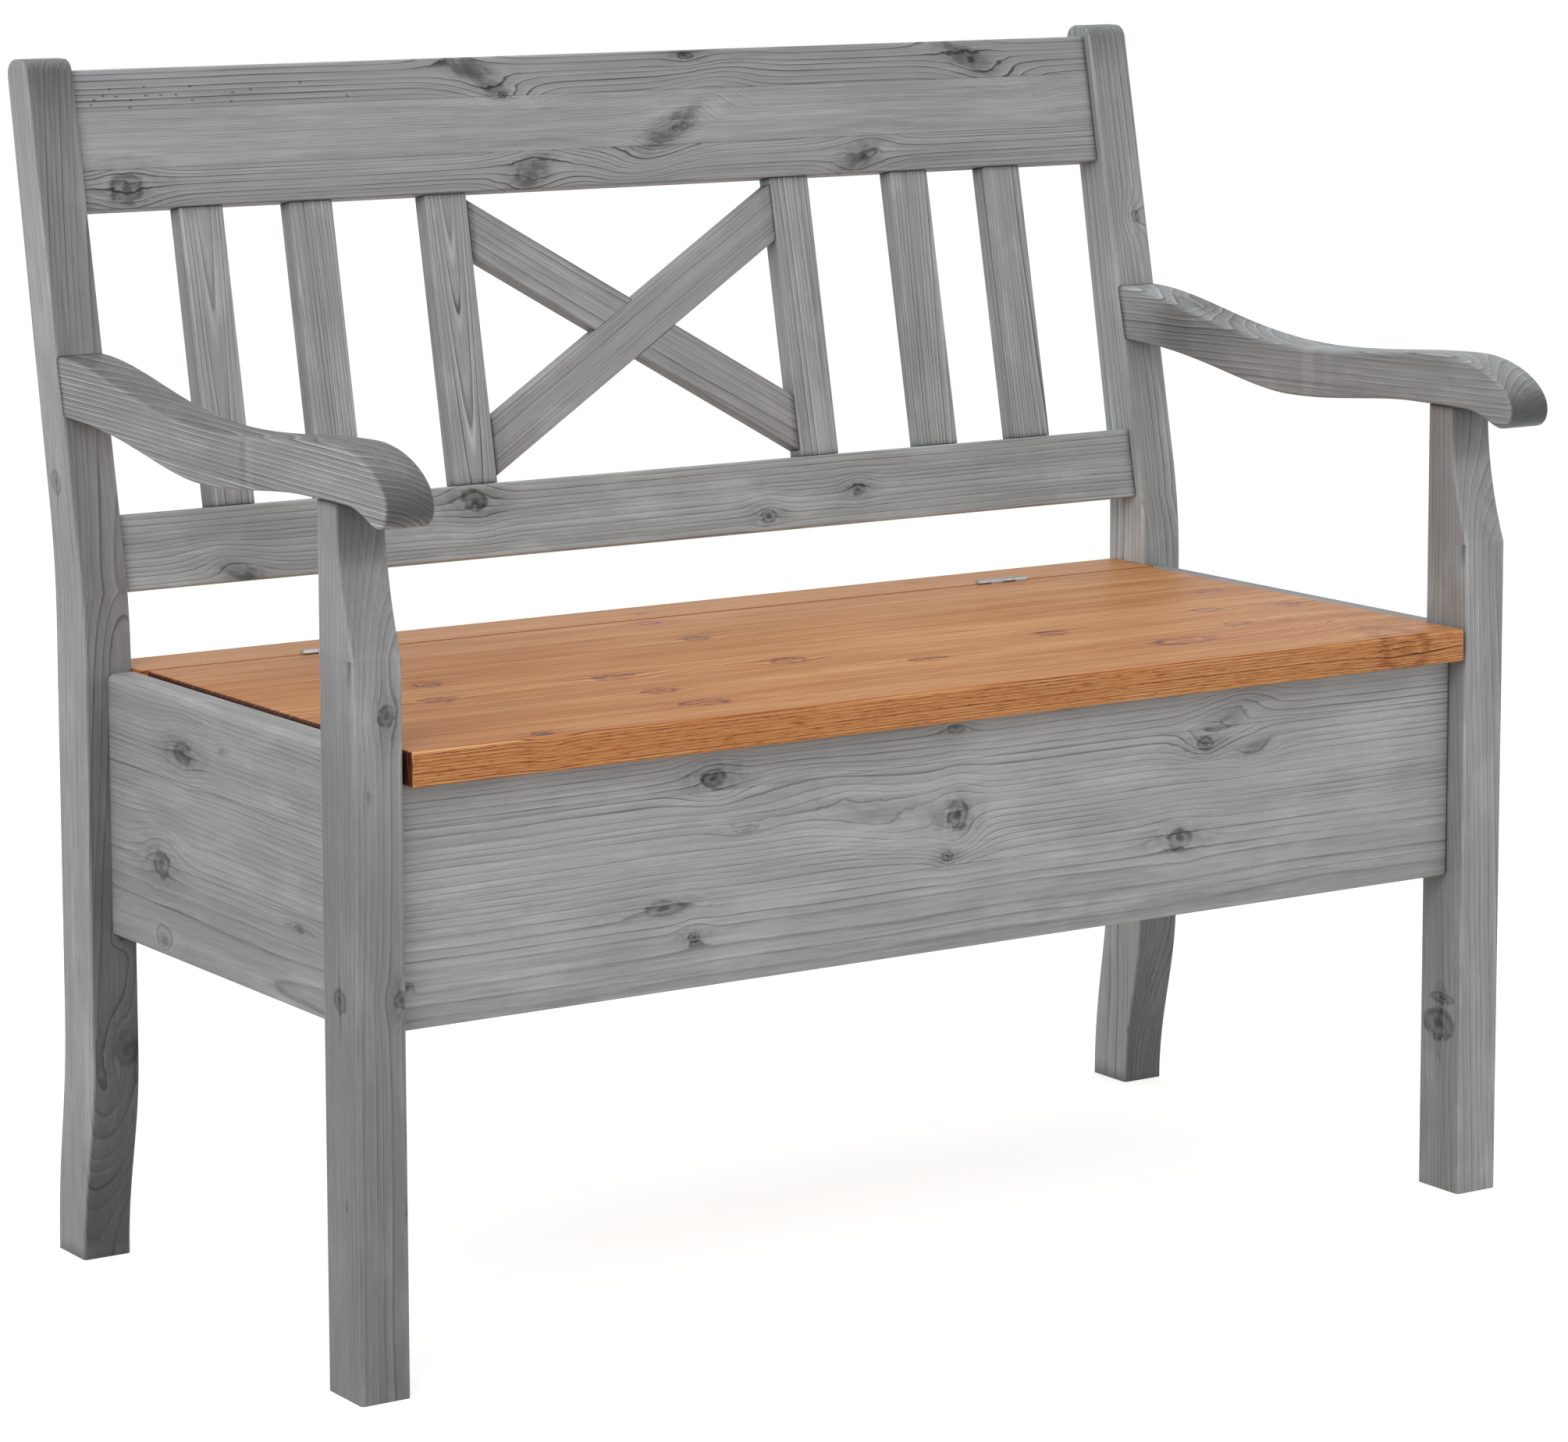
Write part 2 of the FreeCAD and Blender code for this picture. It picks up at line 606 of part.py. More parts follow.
def build_hinges():
    plate_bottom = hinge_z - knuckle_radius - leaf_neck - leaf_height
    hinge_screw = (hinge_screw_radius, hinge_screw_radius + leaf_thickness, hinge_screw_length)
    for side, sign in sides:
        low_x = sign * hinge_centre - hinge_length / 2
        gap = mortise_clearance
        mortise = box((low_x - gap, hinge_y - knuckle_radius, plate_bottom - gap),
                      (low_x + hinge_length + gap, hinge_y + knuckle_radius, seat_height + overrun))
        end_room = pin_head_height + barrel_clearance
        relief = cylinder(V(low_x - end_room, hinge_y, hinge_z), V(1, 0, 0),
                          knuckle_radius + barrel_clearance, hinge_length + 2 * end_room)
        # The fixed leaf has the first and third knuckle, the lid's leaf the second and fourth
        for board, leaf, toward, first in (("seat_strip", "fixed_leaf", 1, 0),
                                           ("seat_lid", "lid_leaf", -1, 1)):
            pieces[board] = pieces[board].cut(mortise).cut(relief)
            name = f"hinge_{leaf}_{side}"
            pieces[name] = hinge_leaf(low_x, toward, first)
            group = f"{leaf}_screws"
            inner_y = hinge_y + toward * (knuckle_radius - leaf_thickness)
            for x in spread(low_x, low_x + hinge_length, hinge_leaf_screw_count):
                screw(group, [name, board], V(x, inner_y, plate_bottom + leaf_height / 2),
                      V(0, toward, 0), hinge_screw)
        pieces[f"hinge_pin_{side}"] = hinge_pin(low_x)


def build_frame():
    for side, x_low in (("left", -half_width), ("right", inner_x)):
        post = rear_post(x_low)
        pieces[f"rear_post_{side}"] = post
        pieces[f"front_leg_{side}"] = front_leg(x_low)
        pieces[f"armrest_{side}"] = armrest(x_low, post)


build_frame()
brace_slope = build_backrest()
build_chest()
build_seat()
build_hinges()
dowel_backrest(brace_slope)
fasten_chest()

for name, shape in pieces.items():
    shape.exportStep(f"parts/{name}.step")
    print(name, "solids", len(shape.Solids), "volume", round(shape.Volume), "valid", shape.isValid())
for name, shapes in groups.items():
    Part.makeCompound(shapes).exportStep(f"parts/{name}.step")
    print(name, "solids", len(shapes))
print("hinge axis", round(hinge_y, 3), round(hinge_z, 3))
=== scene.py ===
import math
import bmesh
import bpy
import numpy as np
from mathutils import Matrix, Vector


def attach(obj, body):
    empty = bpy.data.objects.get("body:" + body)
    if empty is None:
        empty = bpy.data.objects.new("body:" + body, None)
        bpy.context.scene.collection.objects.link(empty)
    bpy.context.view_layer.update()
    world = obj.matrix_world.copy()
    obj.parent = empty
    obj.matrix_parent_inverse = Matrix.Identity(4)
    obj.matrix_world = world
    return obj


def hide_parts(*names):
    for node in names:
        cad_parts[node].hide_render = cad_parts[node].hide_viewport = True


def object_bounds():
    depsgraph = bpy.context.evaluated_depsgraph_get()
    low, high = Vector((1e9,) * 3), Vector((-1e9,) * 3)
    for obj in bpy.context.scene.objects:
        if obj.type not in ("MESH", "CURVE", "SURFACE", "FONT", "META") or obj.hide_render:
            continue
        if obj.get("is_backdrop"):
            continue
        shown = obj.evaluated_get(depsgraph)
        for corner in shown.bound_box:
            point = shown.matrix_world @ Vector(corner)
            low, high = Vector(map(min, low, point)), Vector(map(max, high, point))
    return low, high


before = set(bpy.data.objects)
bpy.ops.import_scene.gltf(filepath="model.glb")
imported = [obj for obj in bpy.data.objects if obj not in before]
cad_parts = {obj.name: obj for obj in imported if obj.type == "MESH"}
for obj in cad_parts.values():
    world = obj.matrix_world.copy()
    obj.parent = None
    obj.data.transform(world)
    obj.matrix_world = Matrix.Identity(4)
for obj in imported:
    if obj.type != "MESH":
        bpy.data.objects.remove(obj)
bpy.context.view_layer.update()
scene = bpy.context.scene
mm = 0.001
work = {}          # work["tree"] is the node tree that the helpers below add to
print("frame loaded,", len(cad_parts), "nodes")


# node helpers: a value is a number, a vector or another node's socket

def addNode(kind, **settings):
    node = work["tree"].nodes.new("ShaderNode" + kind)
    for key, value in settings.items():
        setattr(node, key, value)
    return node


def feed(socket, value):
    if isinstance(value, bpy.types.NodeSocket):
        work["tree"].links.new(value, socket)
    else:
        socket.default_value = value


def calc(operation, *values):
    node = addNode("Math", operation=operation)
    for socket, value in zip(node.inputs, values):
        feed(socket, value)
    return node.outputs[0]


def plus(first, second):
    return calc("ADD", first, second)


def minus(first, second):
    return calc("SUBTRACT", first, second)


def times(first, second):
    return calc("MULTIPLY", first, second)


def timesPlus(value, gain, start):
    return calc("MULTIPLY_ADD", value, gain, start)


def vec(operation, first, second=None, third=None):
    node = addNode("VectorMath", operation=operation)
    feed(node.inputs[0], first)
    if operation == "SCALE":
        feed(node.inputs["Scale"], second)
    elif second is not None:
        feed(node.inputs[1], second)
    if third is not None:
        feed(node.inputs[2], third)
    return node.outputs["Value" if operation == "LENGTH" else "Vector"]


def length(value):
    return vec("LENGTH", value)


def split(value):
    node = addNode("SeparateXYZ")
    feed(node.inputs[0], value)
    return node.outputs


def between(value, low, high, lowResult=0.0, highResult=1.0):
    # smooth step from low to high
    node = addNode("MapRange", interpolation_type="SMOOTHSTEP")
    for name, item in (("Value", value), ("From Min", low), ("From Max", high),
                       ("To Min", lowResult), ("To Max", highResult)):
        feed(node.inputs[name], item)
    return node.outputs["Result"]


def noise(place, frequency, detail=2.0, roughness=0.5, shift=(0, 0, 0)):
    # noise at place times frequency plus shift, frequency per millimetre on each axis
    node = addNode("TexNoise")
    feed(node.inputs["Vector"], vec("MULTIPLY_ADD", place, frequency, shift))
    for key, value in (("Scale", 1.0), ("Detail", detail), ("Roughness", roughness)):
        node.inputs[key].default_value = value
    return node.outputs


def noiseAlong(value, detail):
    node = addNode("TexNoise", noise_dimensions="1D")
    feed(node.inputs["W"], value)
    node.inputs["Scale"].default_value = 1.0
    node.inputs["Detail"].default_value = detail
    return node.outputs[0]


def chance(value):
    node = addNode("TexWhiteNoise", noise_dimensions="1D")
    feed(node.inputs["W"], value)
    return node.outputs


def newGroup(name, inputs, outputs):
    group = work["tree"] = bpy.data.node_groups.new(name, "ShaderNodeTree")
    for side, kinds in (("INPUT", inputs), ("OUTPUT", outputs)):
        for kind, labels in kinds.items():
            for label in labels:
                group.interface.new_socket(name=label, in_out=side, socket_type="NodeSocket" + kind)
    return group, group.nodes.new("NodeGroupInput").outputs, group.nodes.new("NodeGroupOutput").inputs


def fill(sockets, **values):
    for key, value in values.items():
        feed(sockets[key], value)


def useGroup(group, **values):
    node = work["tree"].nodes.new("ShaderNodeGroup")
    node.node_tree = group
    fill(node.inputs, **values)
    return node.outputs


def newMaterial(name):
    material = bpy.data.materials.new(name)
    material.use_nodes = True
    work["tree"] = material.node_tree
    work["tree"].nodes.clear()
    return material


def placeOn(origin=(0, 0, 0), turn=(0, 0, 0)):
    # the place on the piece, in millimetres from the origin and along the turned axes
    mapping = addNode("Mapping", vector_type="TEXTURE")
    feed(mapping.inputs["Vector"], addNode("TexCoord").outputs["Object"])
    for key, value in (("Location", origin), ("Rotation", turn), ("Scale", (mm, mm, mm))):
        mapping.inputs[key].default_value = value
    return mapping.outputs[0]


def addBump(shader, height, strength, distance):
    bump = addNode("Bump")
    bump.inputs["Strength"].default_value = strength
    bump.inputs["Distance"].default_value = distance * mm
    feed(bump.inputs["Height"], height)
    feed(shader.inputs["Normal"], bump.outputs[0])


def toSurface(shader, kind="OutputMaterial"):
    feed(addNode(kind).inputs["Surface"], shader.outputs[0])


# knots: distances are in knot radii, and an edge is (from, to), then the values at both, if not 0 and 1
greyKnot = dict(
    reach=0.18, push=0.72, ragged=0.3, grit=1.3, flat=(1, 1, 0.3), edge=(1.15, 0.7), disc=0.42, rings=9.0,
    ringShade=0.12, rimAt=0.95, rim=0.26, rimShade=0.52, rimGrit=(0.35, 0.6, 0.2, 1.0), heartEdge=(0.5, 0.1),
    heart=0.4, smudge=(3.6, 2.1, 1.0), smudgeEdge=(1.3, 0.15), smudgeShade=0.42, smudgeGrit=(0.36, 0.6, 0.5, 1.2),
    glintAt=(1.3, -0.2, 0), glintEdge=(1.3, 0.2), glint=0.0)
scarKnot = dict(
    greyKnot, push=0.9, disc=0.16, rings=5.0, ringShade=0.04, rimShade=0.12, heart=0.3, smudge=(1.9, 1.5, 1.0),
    smudgeShade=0.8, glint=0.3)
honeyKnot = dict(
    greyKnot, push=0.6, ragged=0.7, grit=1.7, ringShade=0.3, rim=0.3, rimShade=1.3, heart=0.2, smudgeShade=0.2)


def makeKnotGroup(knot):
    # r is the distance from the knot's middle in knot radii, made ragged by noise of the knot's own size;
    # the grain is pushed by exp(-reach r^2), and a smudge, longer than the knot, darkens the wood beside it
    group, given, result = newGroup("knot", dict(Vector=("Place", "Middle", "Radius", "Slant")),
                                    dict(Vector=("Push",), Float=("Lift", "Shade")))
    away = vec("SUBTRACT", given["Place"], given["Middle"])
    leaned = vec("ADD", away, vec("SCALE", given["Slant"], split(away)[0]))
    scaled = vec("DIVIDE", leaned, given["Radius"])
    r = length(scaled)
    euler = 2.718
    lift = calc("POWER", euler, times(times(r, r), -knot["reach"]))
    push = vec("SCALE", away, times(lift, -knot["push"]))
    grit = noise(scaled, (knot["grit"],) * 3, 3.0, 0.55, given["Middle"])
    ragged = vec("MULTIPLY_ADD", grit["Color"], (knot["ragged"] * 2,) * 3,
                 vec("ADD", scaled, (-knot["ragged"],) * 3))
    r = length(vec("MULTIPLY", ragged, knot["flat"]))
    rings = calc("SINE", times(r, knot["rings"]))
    body = times(between(r, *knot["edge"]), timesPlus(rings, knot["ringShade"], knot["disc"]))
    offRim = calc("ABSOLUTE", minus(r, knot["rimAt"]))
    rim = times(between(offRim, knot["rim"], 0.0, 0.0, knot["rimShade"]), between(grit[0], *knot["rimGrit"]))
    heart = between(r, *knot["heartEdge"], 0.0, knot["heart"])
    long = length(vec("DIVIDE", ragged, knot["smudge"]))
    smudge = times(between(long, *knot["smudgeEdge"], 0.0, knot["smudgeShade"]),
                   between(grit[0], *knot["smudgeGrit"]))
    beside = length(vec("SUBTRACT", ragged, knot["glintAt"]))
    shade = minus(plus(plus(body, rim), plus(heart, smudge)), between(beside, *knot["glintEdge"], 0.0, knot["glint"]))
    fill(result, Push=push, Lift=lift, Shade=shade)
    return group


ring = dict(
    slow=(0.0035, 0.014, 0.014), wander=9.0, quick=(0.016, 0.07, 0.07), ripple=0.8, seedShift=(1.0, 1.7, 0.6),
    widthRun=0.31, widthChange=1.3, strength=(0.75, 0.3), fade=(0.008, 0.05, 0.05),
    fadeEdge=(0.28, 0.66, 0.35, 1.25), fadeShift=2.3, lateRise=(0.72, 0.94), lateFall=(1.0, 0.97),
    lightRise=(0.0, 0.1), lightFall=(0.34, 0.12), bandRun=0.16, bandSeed=1.7, fibre=(0.024, 1.1, 1.1),
    streak=(0.008, 0.36, 0.36), streakShare=0.4, pore=(0.06, 3.0, 3.0), poreEdge=(0.34, 0.24))


def makeRingGroup():
    # growth rings: the distance from the pith, a line that leans along the board, over the ring width
    group, given, result = newGroup(
        "growthRings", dict(Vector=("Place", "Push", "Pith", "Lean"), Float=("Lift", "Width", "Wander", "Seed")),
        dict(Float=("Line", "Soft", "Fibre", "Pore", "Light", "Band")))
    place, seed = given["Place"], given["Seed"]
    shift = vec("SCALE", ring["seedShift"], seed)
    slow = noise(place, ring["slow"], 2.0, 0.45, shift)["Color"]
    quick = noise(place, ring["quick"], 2.0, 0.5, shift)["Color"]
    drift = vec("MULTIPLY_ADD", slow, (0, ring["wander"], ring["wander"]),
                vec("MULTIPLY", quick, (0, ring["ripple"], ring["ripple"])))
    moved = vec("ADD", vec("ADD", place, vec("SCALE", drift, given["Wander"])), given["Push"])
    axis = vec("ADD", given["Pith"], vec("SCALE", given["Lean"], split(place)[0]))
    across = vec("MULTIPLY", vec("SUBTRACT", moved, axis), (0, 1, 1))
    count = calc("DIVIDE", plus(length(across), given["Lift"]), given["Width"])
    uneven = noiseAlong(timesPlus(count, ring["widthRun"], seed), 1.5)
    count = timesPlus(uneven, ring["widthChange"], count)
    share = calc("FRACT", count)
    own = chance(plus(calc("FLOOR", count), seed))["Value"]
    fade = noise(place, ring["fade"], 2.0, 0.6, vec("SCALE", shift, ring["fadeShift"]))[0]
    strength = times(timesPlus(own, *ring["strength"]), between(fade, *ring["fadeEdge"]))
    late = times(between(share, *ring["lateRise"]), between(share, *ring["lateFall"]))
    light = times(between(share, *ring["lightRise"]), between(share, *ring["lightFall"]))
    band = noiseAlong(timesPlus(count, ring["bandRun"], times(seed, ring["bandSeed"])), 2.0)
    fibre = noise(place, ring["fibre"], 3.0, 0.65, shift)[0]
    streak = noise(place, ring["streak"], 2.0, 0.6, shift)[0]
    fibre = timesPlus(fibre, 1 - ring["streakShare"], times(streak, ring["streakShare"]))
    pore = between(noise(place, ring["pore"], 1.0, 0.5, shift)[0], *ring["poreEdge"])
    fill(result, Line=times(late, strength), Soft=share, Fibre=fibre, Pore=pore, Light=times(light, strength),
         Band=band)
    return group


knotGroups = dict(grey=makeKnotGroup(greyKnot), honey=makeKnotGroup(honeyKnot), scar=makeKnotGroup(scarKnot))
ringGroup = makeRingGroup()

# brightness 0 to 2 runs along the stops, so 0.5 is the plain colour
# each finish's wear lightens the rounded edges: edge wear and painted sheen
finishes = dict(
    grey=dict(
        stops=((0.0, (0.008, 0.008, 0.008)), (0.25, (0.10, 0.10, 0.10)), (0.5, (0.285, 0.285, 0.285)),
               (0.75, (0.50, 0.50, 0.50)), (1.0, (0.66, 0.66, 0.66))),
        rough=0.56, gloss=0.32, bump=0.4, seam=0.85, wearAndSheen=0.13, knot=0.5),
    honey=dict(
        stops=((0.0, (0.010, 0.003, 0.0015)), (0.18, (0.25, 0.055, 0.010)), (0.34, (0.38, 0.128, 0.028)),
               (0.5, (0.487, 0.210, 0.066)), (0.64, (0.64, 0.335, 0.138)), (0.9, (0.78, 0.50, 0.27))),
        rough=0.5, gloss=0.3, bump=0.25, seam=0.4, wearAndSheen=0.05, knot=0.54),
    raw=dict(
        stops=((0.0, (0.10, 0.05, 0.025)), (0.25, (0.36, 0.21, 0.10)), (0.5, (0.64, 0.46, 0.27)),
               (1.0, (0.82, 0.68, 0.48))),
        rough=0.68, gloss=0.3, bump=0.3, seam=0.3, wearAndSheen=0.03, knot=0.7),
    beech=dict(
        stops=((0.0, (0.14, 0.07, 0.035)), (0.5, (0.58, 0.38, 0.22)), (1.0, (0.74, 0.56, 0.38))), rough=0.6,
        gloss=0.3, bump=0.2, seam=0.3, wearAndSheen=0.0, knot=0.6))

plainLook = dict(
    pith=(0, 60), lean=(0, 0), width=3.2, wander=1.0, lines=0.42, light=0.1, soft=0.08, band=0.24, bars=0.14,
    fibre=0.75, cloud=0.3, patch=0.12, tone=1.0, seed=1.0, lift=0.8, drift=0.0, tint=(1.0, 1.0, 1.0), knots=(),
    through=(), throughAt=0, dots=(), spots=(), staves=(), staveRows=None, staveChange=(26, 14), ends=None,
    endShade=0.0, bend=None, rim=None, crease=None, lowBand=None)

wood = dict(
    rough=(0.05, 0.09, 0.09), roughBy=6, throughRadius=60, dot=(0.7, 1, 0), dotEdge=(1.3, 0.5, 0.0, 0.9),
    spotEdge=(1.1, 0.4), glueEdge=(0.7, 0.1), glue=-0.22, staveTone=0.12, staveSeed=3.1, rimPith=-70,
    cloud=(0.007, 0.016, 0.016), patch=(0.013, 0.035, 0.035), patchEdge=(0.48, 0.68), patchMiddle=0.3,
    wearAndSheenEdge=(0.35, 0.6, 0.2, 1.0), bars=(0.004, 0.1, 0.1), pore=-0.12, nearKnot=0.25, dash=(0.06, 0.9, 0.9),
    dashEdge=(0.52, 0.64), dashShade=-0.42, bandWave=34.0, bandEdge=(1.5, -0.5), bandShade=-0.1,
    creaseEdge=(3.4, 1.2), creaseShade=-0.5, topAbove=11.0, endEdge=(-0.6, 0.2), darkest=0.04, fibreRough=-0.16,
    knotRough=-0.08, bumpDepth=0.25)


def stepped(value, edges, rows):
    # the first row's number, and past each edge the next one's
    result = rows[0]
    for edge, below, above in zip(edges, rows, rows[1:]):
        result = timesPlus(calc("GREATER_THAN", value, edge), above - below, result)
    return result


def woodMaterial(name, finish, axes, look):
    # axes: origin, along the grain, across the board, in millimetres; the third axis is along x across
    look = {**plainLook, **look}
    plainKnot = knotGroups["honey" if finish == "honey" else "grey"]
    finish, seed = finishes[finish], look["seed"]
    material = newMaterial(name)
    origin, along, across = (Vector(item) for item in axes)
    place = placeOn(origin * mm, Matrix((along, across, along.cross(across))).transposed().to_euler())
    u, v, w = split(place)
    if look["bend"]:                       # grain that leans back above a height, with the post
        above = calc("MAXIMUM", minus(u, look["bend"][0]), 0.0)
        place = vec("ADD", place, vec("SCALE", (0, 0, -look["bend"][1]), above))
    rough = noise(place, wood["rough"], 2.0, 0.6, (seed, 0, 0))["Color"]
    roughBy = wood["roughBy"]
    bent = vec("ADD", vec("MULTIPLY_ADD", rough, (roughBy,) * 3, (-roughBy / 2,) * 3), place)
    push, lift, shade = (0.0, 0.0, 0.0), 0.0, 0.0
    # knots: middle, radii, then how dark and how slanting; through ones lack the middle and radius in depth
    knots = [*look["knots"], *((*knot[:2], look["throughAt"], *knot[2:4], wood["throughRadius"], *knot[4:])
                               for knot in look["through"])]
    for knot in knots:
        dark, slant = (*knot[6:], *(1.0, 0.0)[len(knot) - 6:])
        found = useGroup(knotGroups["scar"] if slant else plainKnot, Place=bent, Middle=knot[:3],
                         Radius=knot[3:6], Slant=(0, -slant, 0))
        push = vec("ADD", found["Push"], push)
        lift = plus(found["Lift"], lift)
        shade = timesPlus(found["Shade"], dark, shade)
    for dotU, dotV in look["dots"]:        # small dark pinholes
        away = vec("MULTIPLY", vec("SUBTRACT", place, (dotU, dotV, 0)), wood["dot"])
        shade = plus(between(length(away), *wood["dotEdge"]), shade)
    for middle, radii, dark in look["spots"]:                # soft stains, or lighter places below zero
        away = length(vec("DIVIDE", vec("SUBTRACT", bent, middle), radii))
        shade = plus(between(away, *wood["spotEdge"], 0.0, dark), shade)

    onRim = calc("LESS_THAN", v, look["rim"]) if look["rim"] else None

    def offRim(value, share):              # what a value loses on the narrow front edge
        return timesPlus(onRim, -share * value, value) if look["rim"] else value

    stave, glue, pith, tone = 0.0, 0.0, (0, *look["pith"]), look["tone"]
    width, lines = offRim(look["width"], 0.6), offRim(look["lines"], -0.9)
    for edge in look["staves"]:
        stave = plus(calc("GREATER_THAN", v, edge), stave)
        glue = plus(between(calc("ABSOLUTE", minus(v, edge)), *wood["glueEdge"]), glue)
    if look["staveRows"]:                  # tone, pith across, pith depth, ring width and line strength, bottom up
        ownTone, pithAcross, pithDepth, width, lines = (
            stepped(v, look["staves"], column) for column in zip(*look["staveRows"]))
        tone = times(ownTone, tone)
        centre = addNode("CombineXYZ")
        fill(centre.inputs, Y=pithAcross, Z=pithDepth)
        pith = centre.outputs[0]
    elif look["staves"]:
        own = chance(plus(stave, seed))
        change = look["staveChange"]
        pith = vec("MULTIPLY_ADD", own["Color"], (0, 2 * change[0], 2 * change[1]),
                   (0, look["pith"][0] - change[0], look["pith"][1] - change[1]))
        tone = timesPlus(own["Value"], wood["staveTone"] * tone, (1 - wood["staveTone"] / 2) * tone)
    if look["rim"]:                        # a pith right below the front edge, so its lines lie level
        toRim = vec("SUBTRACT", (0, look["rim"], wood["rimPith"]), pith)
        pith = vec("ADD", vec("SCALE", toRim, onRim), pith)
    rings = useGroup(ringGroup, Place=place, Push=push, Lift=times(lift, look["lift"]), Pith=pith,
                     Lean=(0, *look["lean"]), Width=width, Wander=offRim(look["wander"], 0.8),
                     Seed=timesPlus(stave, wood["staveSeed"], seed))

    cloud = noise(place, wood["cloud"], 3.0, 0.55, (seed, 3, 5))[0]
    patch = noise(place, wood["patch"], 4.0, 0.6, (3, seed, 8))[0]
    bars = noise(place, wood["bars"], 2.0, 0.6, (5, 2, seed))[0]
    wearAndSheen, seam, face = (addNode("Attribute", attribute_name=key).outputs["Fac"] for key in ("wearAndSheen", "seam", "face"))
    nearKnot = timesPlus(calc("MINIMUM", lift, 1.0), wood["nearKnot"], 1.0)
    # each term: a value, how much it lightens, and its middle, where it changes nothing
    terms = [(times(times(rings["Line"], nearKnot), lines), -1.0, 0), (bars, offRim(look["bars"], 0.8), 0.5),
             (rings["Light"], look["light"], 0), (rings["Band"], offRim(look["band"], 1), 0.5),
             # drift, along u, is a painted sheen: the board grows lighter evenly towards its right end
             (u, look["drift"], 0), (rings["Soft"], -look["soft"], 0.5),
             (rings["Fibre"], offRim(look["fibre"], 0.5), 0.5), (rings["Pore"], wood["pore"], 0),
             (cloud, look["cloud"], 0.5), (between(patch, *wood["patchEdge"]), look["patch"], wood["patchMiddle"]),
             (shade, -finish["knot"], 0), (glue, wood["glue"], 0),
             # rounded edges made lighter in patches: edge wear and painted sheen
             (times(wearAndSheen, between(patch, *wood["wearAndSheenEdge"])), finish["wearAndSheen"], 0), (seam, -finish["seam"], 0)]
    if look["rim"]:                        # short dark pores along the front edge
        dash = between(noise(place, wood["dash"], 3.0, 0.65, (seed, 1, 2))[0], *wood["dashEdge"])
        terms.append((times(onRim, dash), wood["dashShade"], 0))
    if look["lowBand"]:                    # darker sapwood below a wavy line
        wave = timesPlus(cloud, wood["bandWave"], look["lowBand"] - wood["bandWave"] / 2)
        terms.append((between(minus(v, wave), *wood["bandEdge"]), wood["bandShade"], 0))
    if look["crease"]:                     # shadow beside the gap between lid and strip
        beside = calc("ABSOLUTE", minus(v, look["crease"]))
        onTop = calc("GREATER_THAN", w, wood["topAbove"])
        terms.append((times(between(beside, *wood["creaseEdge"]), onTop), wood["creaseShade"], 0))
    if look["ends"]:
        past = minus(calc("ABSOLUTE", u), look["ends"])
        terms.append((between(past, *wood["endEdge"]), -look["endShade"], 0))
    bright = 1.0
    for value, gain, middle in terms:
        bright = timesPlus(minus(value, middle) if middle else value, gain, bright)
    bright = calc("MAXIMUM", bright, wood["darkest"])
    # the face attribute adds painted light and shade by which way each place faces
    bright = times(timesPlus(bright, face, bright), tone)

    ramp = addNode("ValToRGB")
    while len(ramp.color_ramp.elements) < len(finish["stops"]):
        ramp.color_ramp.elements.new(1.0)
    for element, (position, colour) in zip(ramp.color_ramp.elements, finish["stops"]):
        element.position = position
        element.color = (*colour, 1.0)
    feed(ramp.inputs[0], times(bright, 0.5))
    shader = addNode("BsdfPrincipled")
    feed(shader.inputs["Base Color"], vec("MULTIPLY", ramp.outputs[0], look["tint"]))
    shader.inputs["Specular IOR Level"].default_value = finish["gloss"]
    rough = timesPlus(rings["Fibre"], wood["fibreRough"], finish["rough"] - wood["fibreRough"] / 2)
    feed(shader.inputs["Roughness"], timesPlus(shade, wood["knotRough"], rough))
    height = timesPlus(rings["Line"], 0.5, times(rings["Fibre"], 0.5))
    height = minus(timesPlus(rings["Pore"], -0.5, height), glue)
    addBump(shader, height, finish["bump"], wood["bumpDepth"])
    toSurface(shader)
    return material


# surfaces, all in millimetres until addPiece
support = 0.4      # distance of the rows that keep flat faces flat beside a rounded edge
sharp = 0.12       # radius of an edge that counts as sharp
quarter = np.linspace(0, math.pi / 2, 6)
# how much lighter each place round an edge is: edge wear and painted sheen, most halfway round
edgeWearAndSheen = np.sin(2 * quarter) * 0.7 + 0.3


def bezier(poles, count):
    # sum of poles times binomial(n, k) t^k (1 - t)^(n - k)
    poles = np.array(poles, float)
    t = np.linspace(0, 1, count + 1)[:, None]
    n = len(poles) - 1
    weights = np.concatenate([math.comb(n, k) * t**k * (1 - t)**(n - k) for k in range(n + 1)], 1)
    return weights @ poles


def straight(start, end, count):
    # start + t (end - start)
    t = np.linspace(0, 1, count + 1)[:, None]
    return np.array(start) * (1 - t) + np.array(end) * t


def chain(*runs):
    # runs joined end to end, without the doubled points
    return np.concatenate([runs[0]] + [run[1:] for run in runs[1:]])


def cornerArc(before, corner, after, radius, count):
    # a near circle of that radius, touching both legs of the corner
    before, corner, after = (np.array(item, float) for item in (before, corner, after))
    back = (before - corner) / np.linalg.norm(before - corner)
    on = (after - corner) / np.linalg.norm(after - corner)
    turn = math.pi - math.acos(float(back @ on))
    reach = radius * math.tan(turn / 2)
    handle = reach - 4 / 3 * math.tan(turn / 4) * radius
    return bezier([corner + back * reach, corner + back * handle, corner + on * handle, corner + on * reach], count)


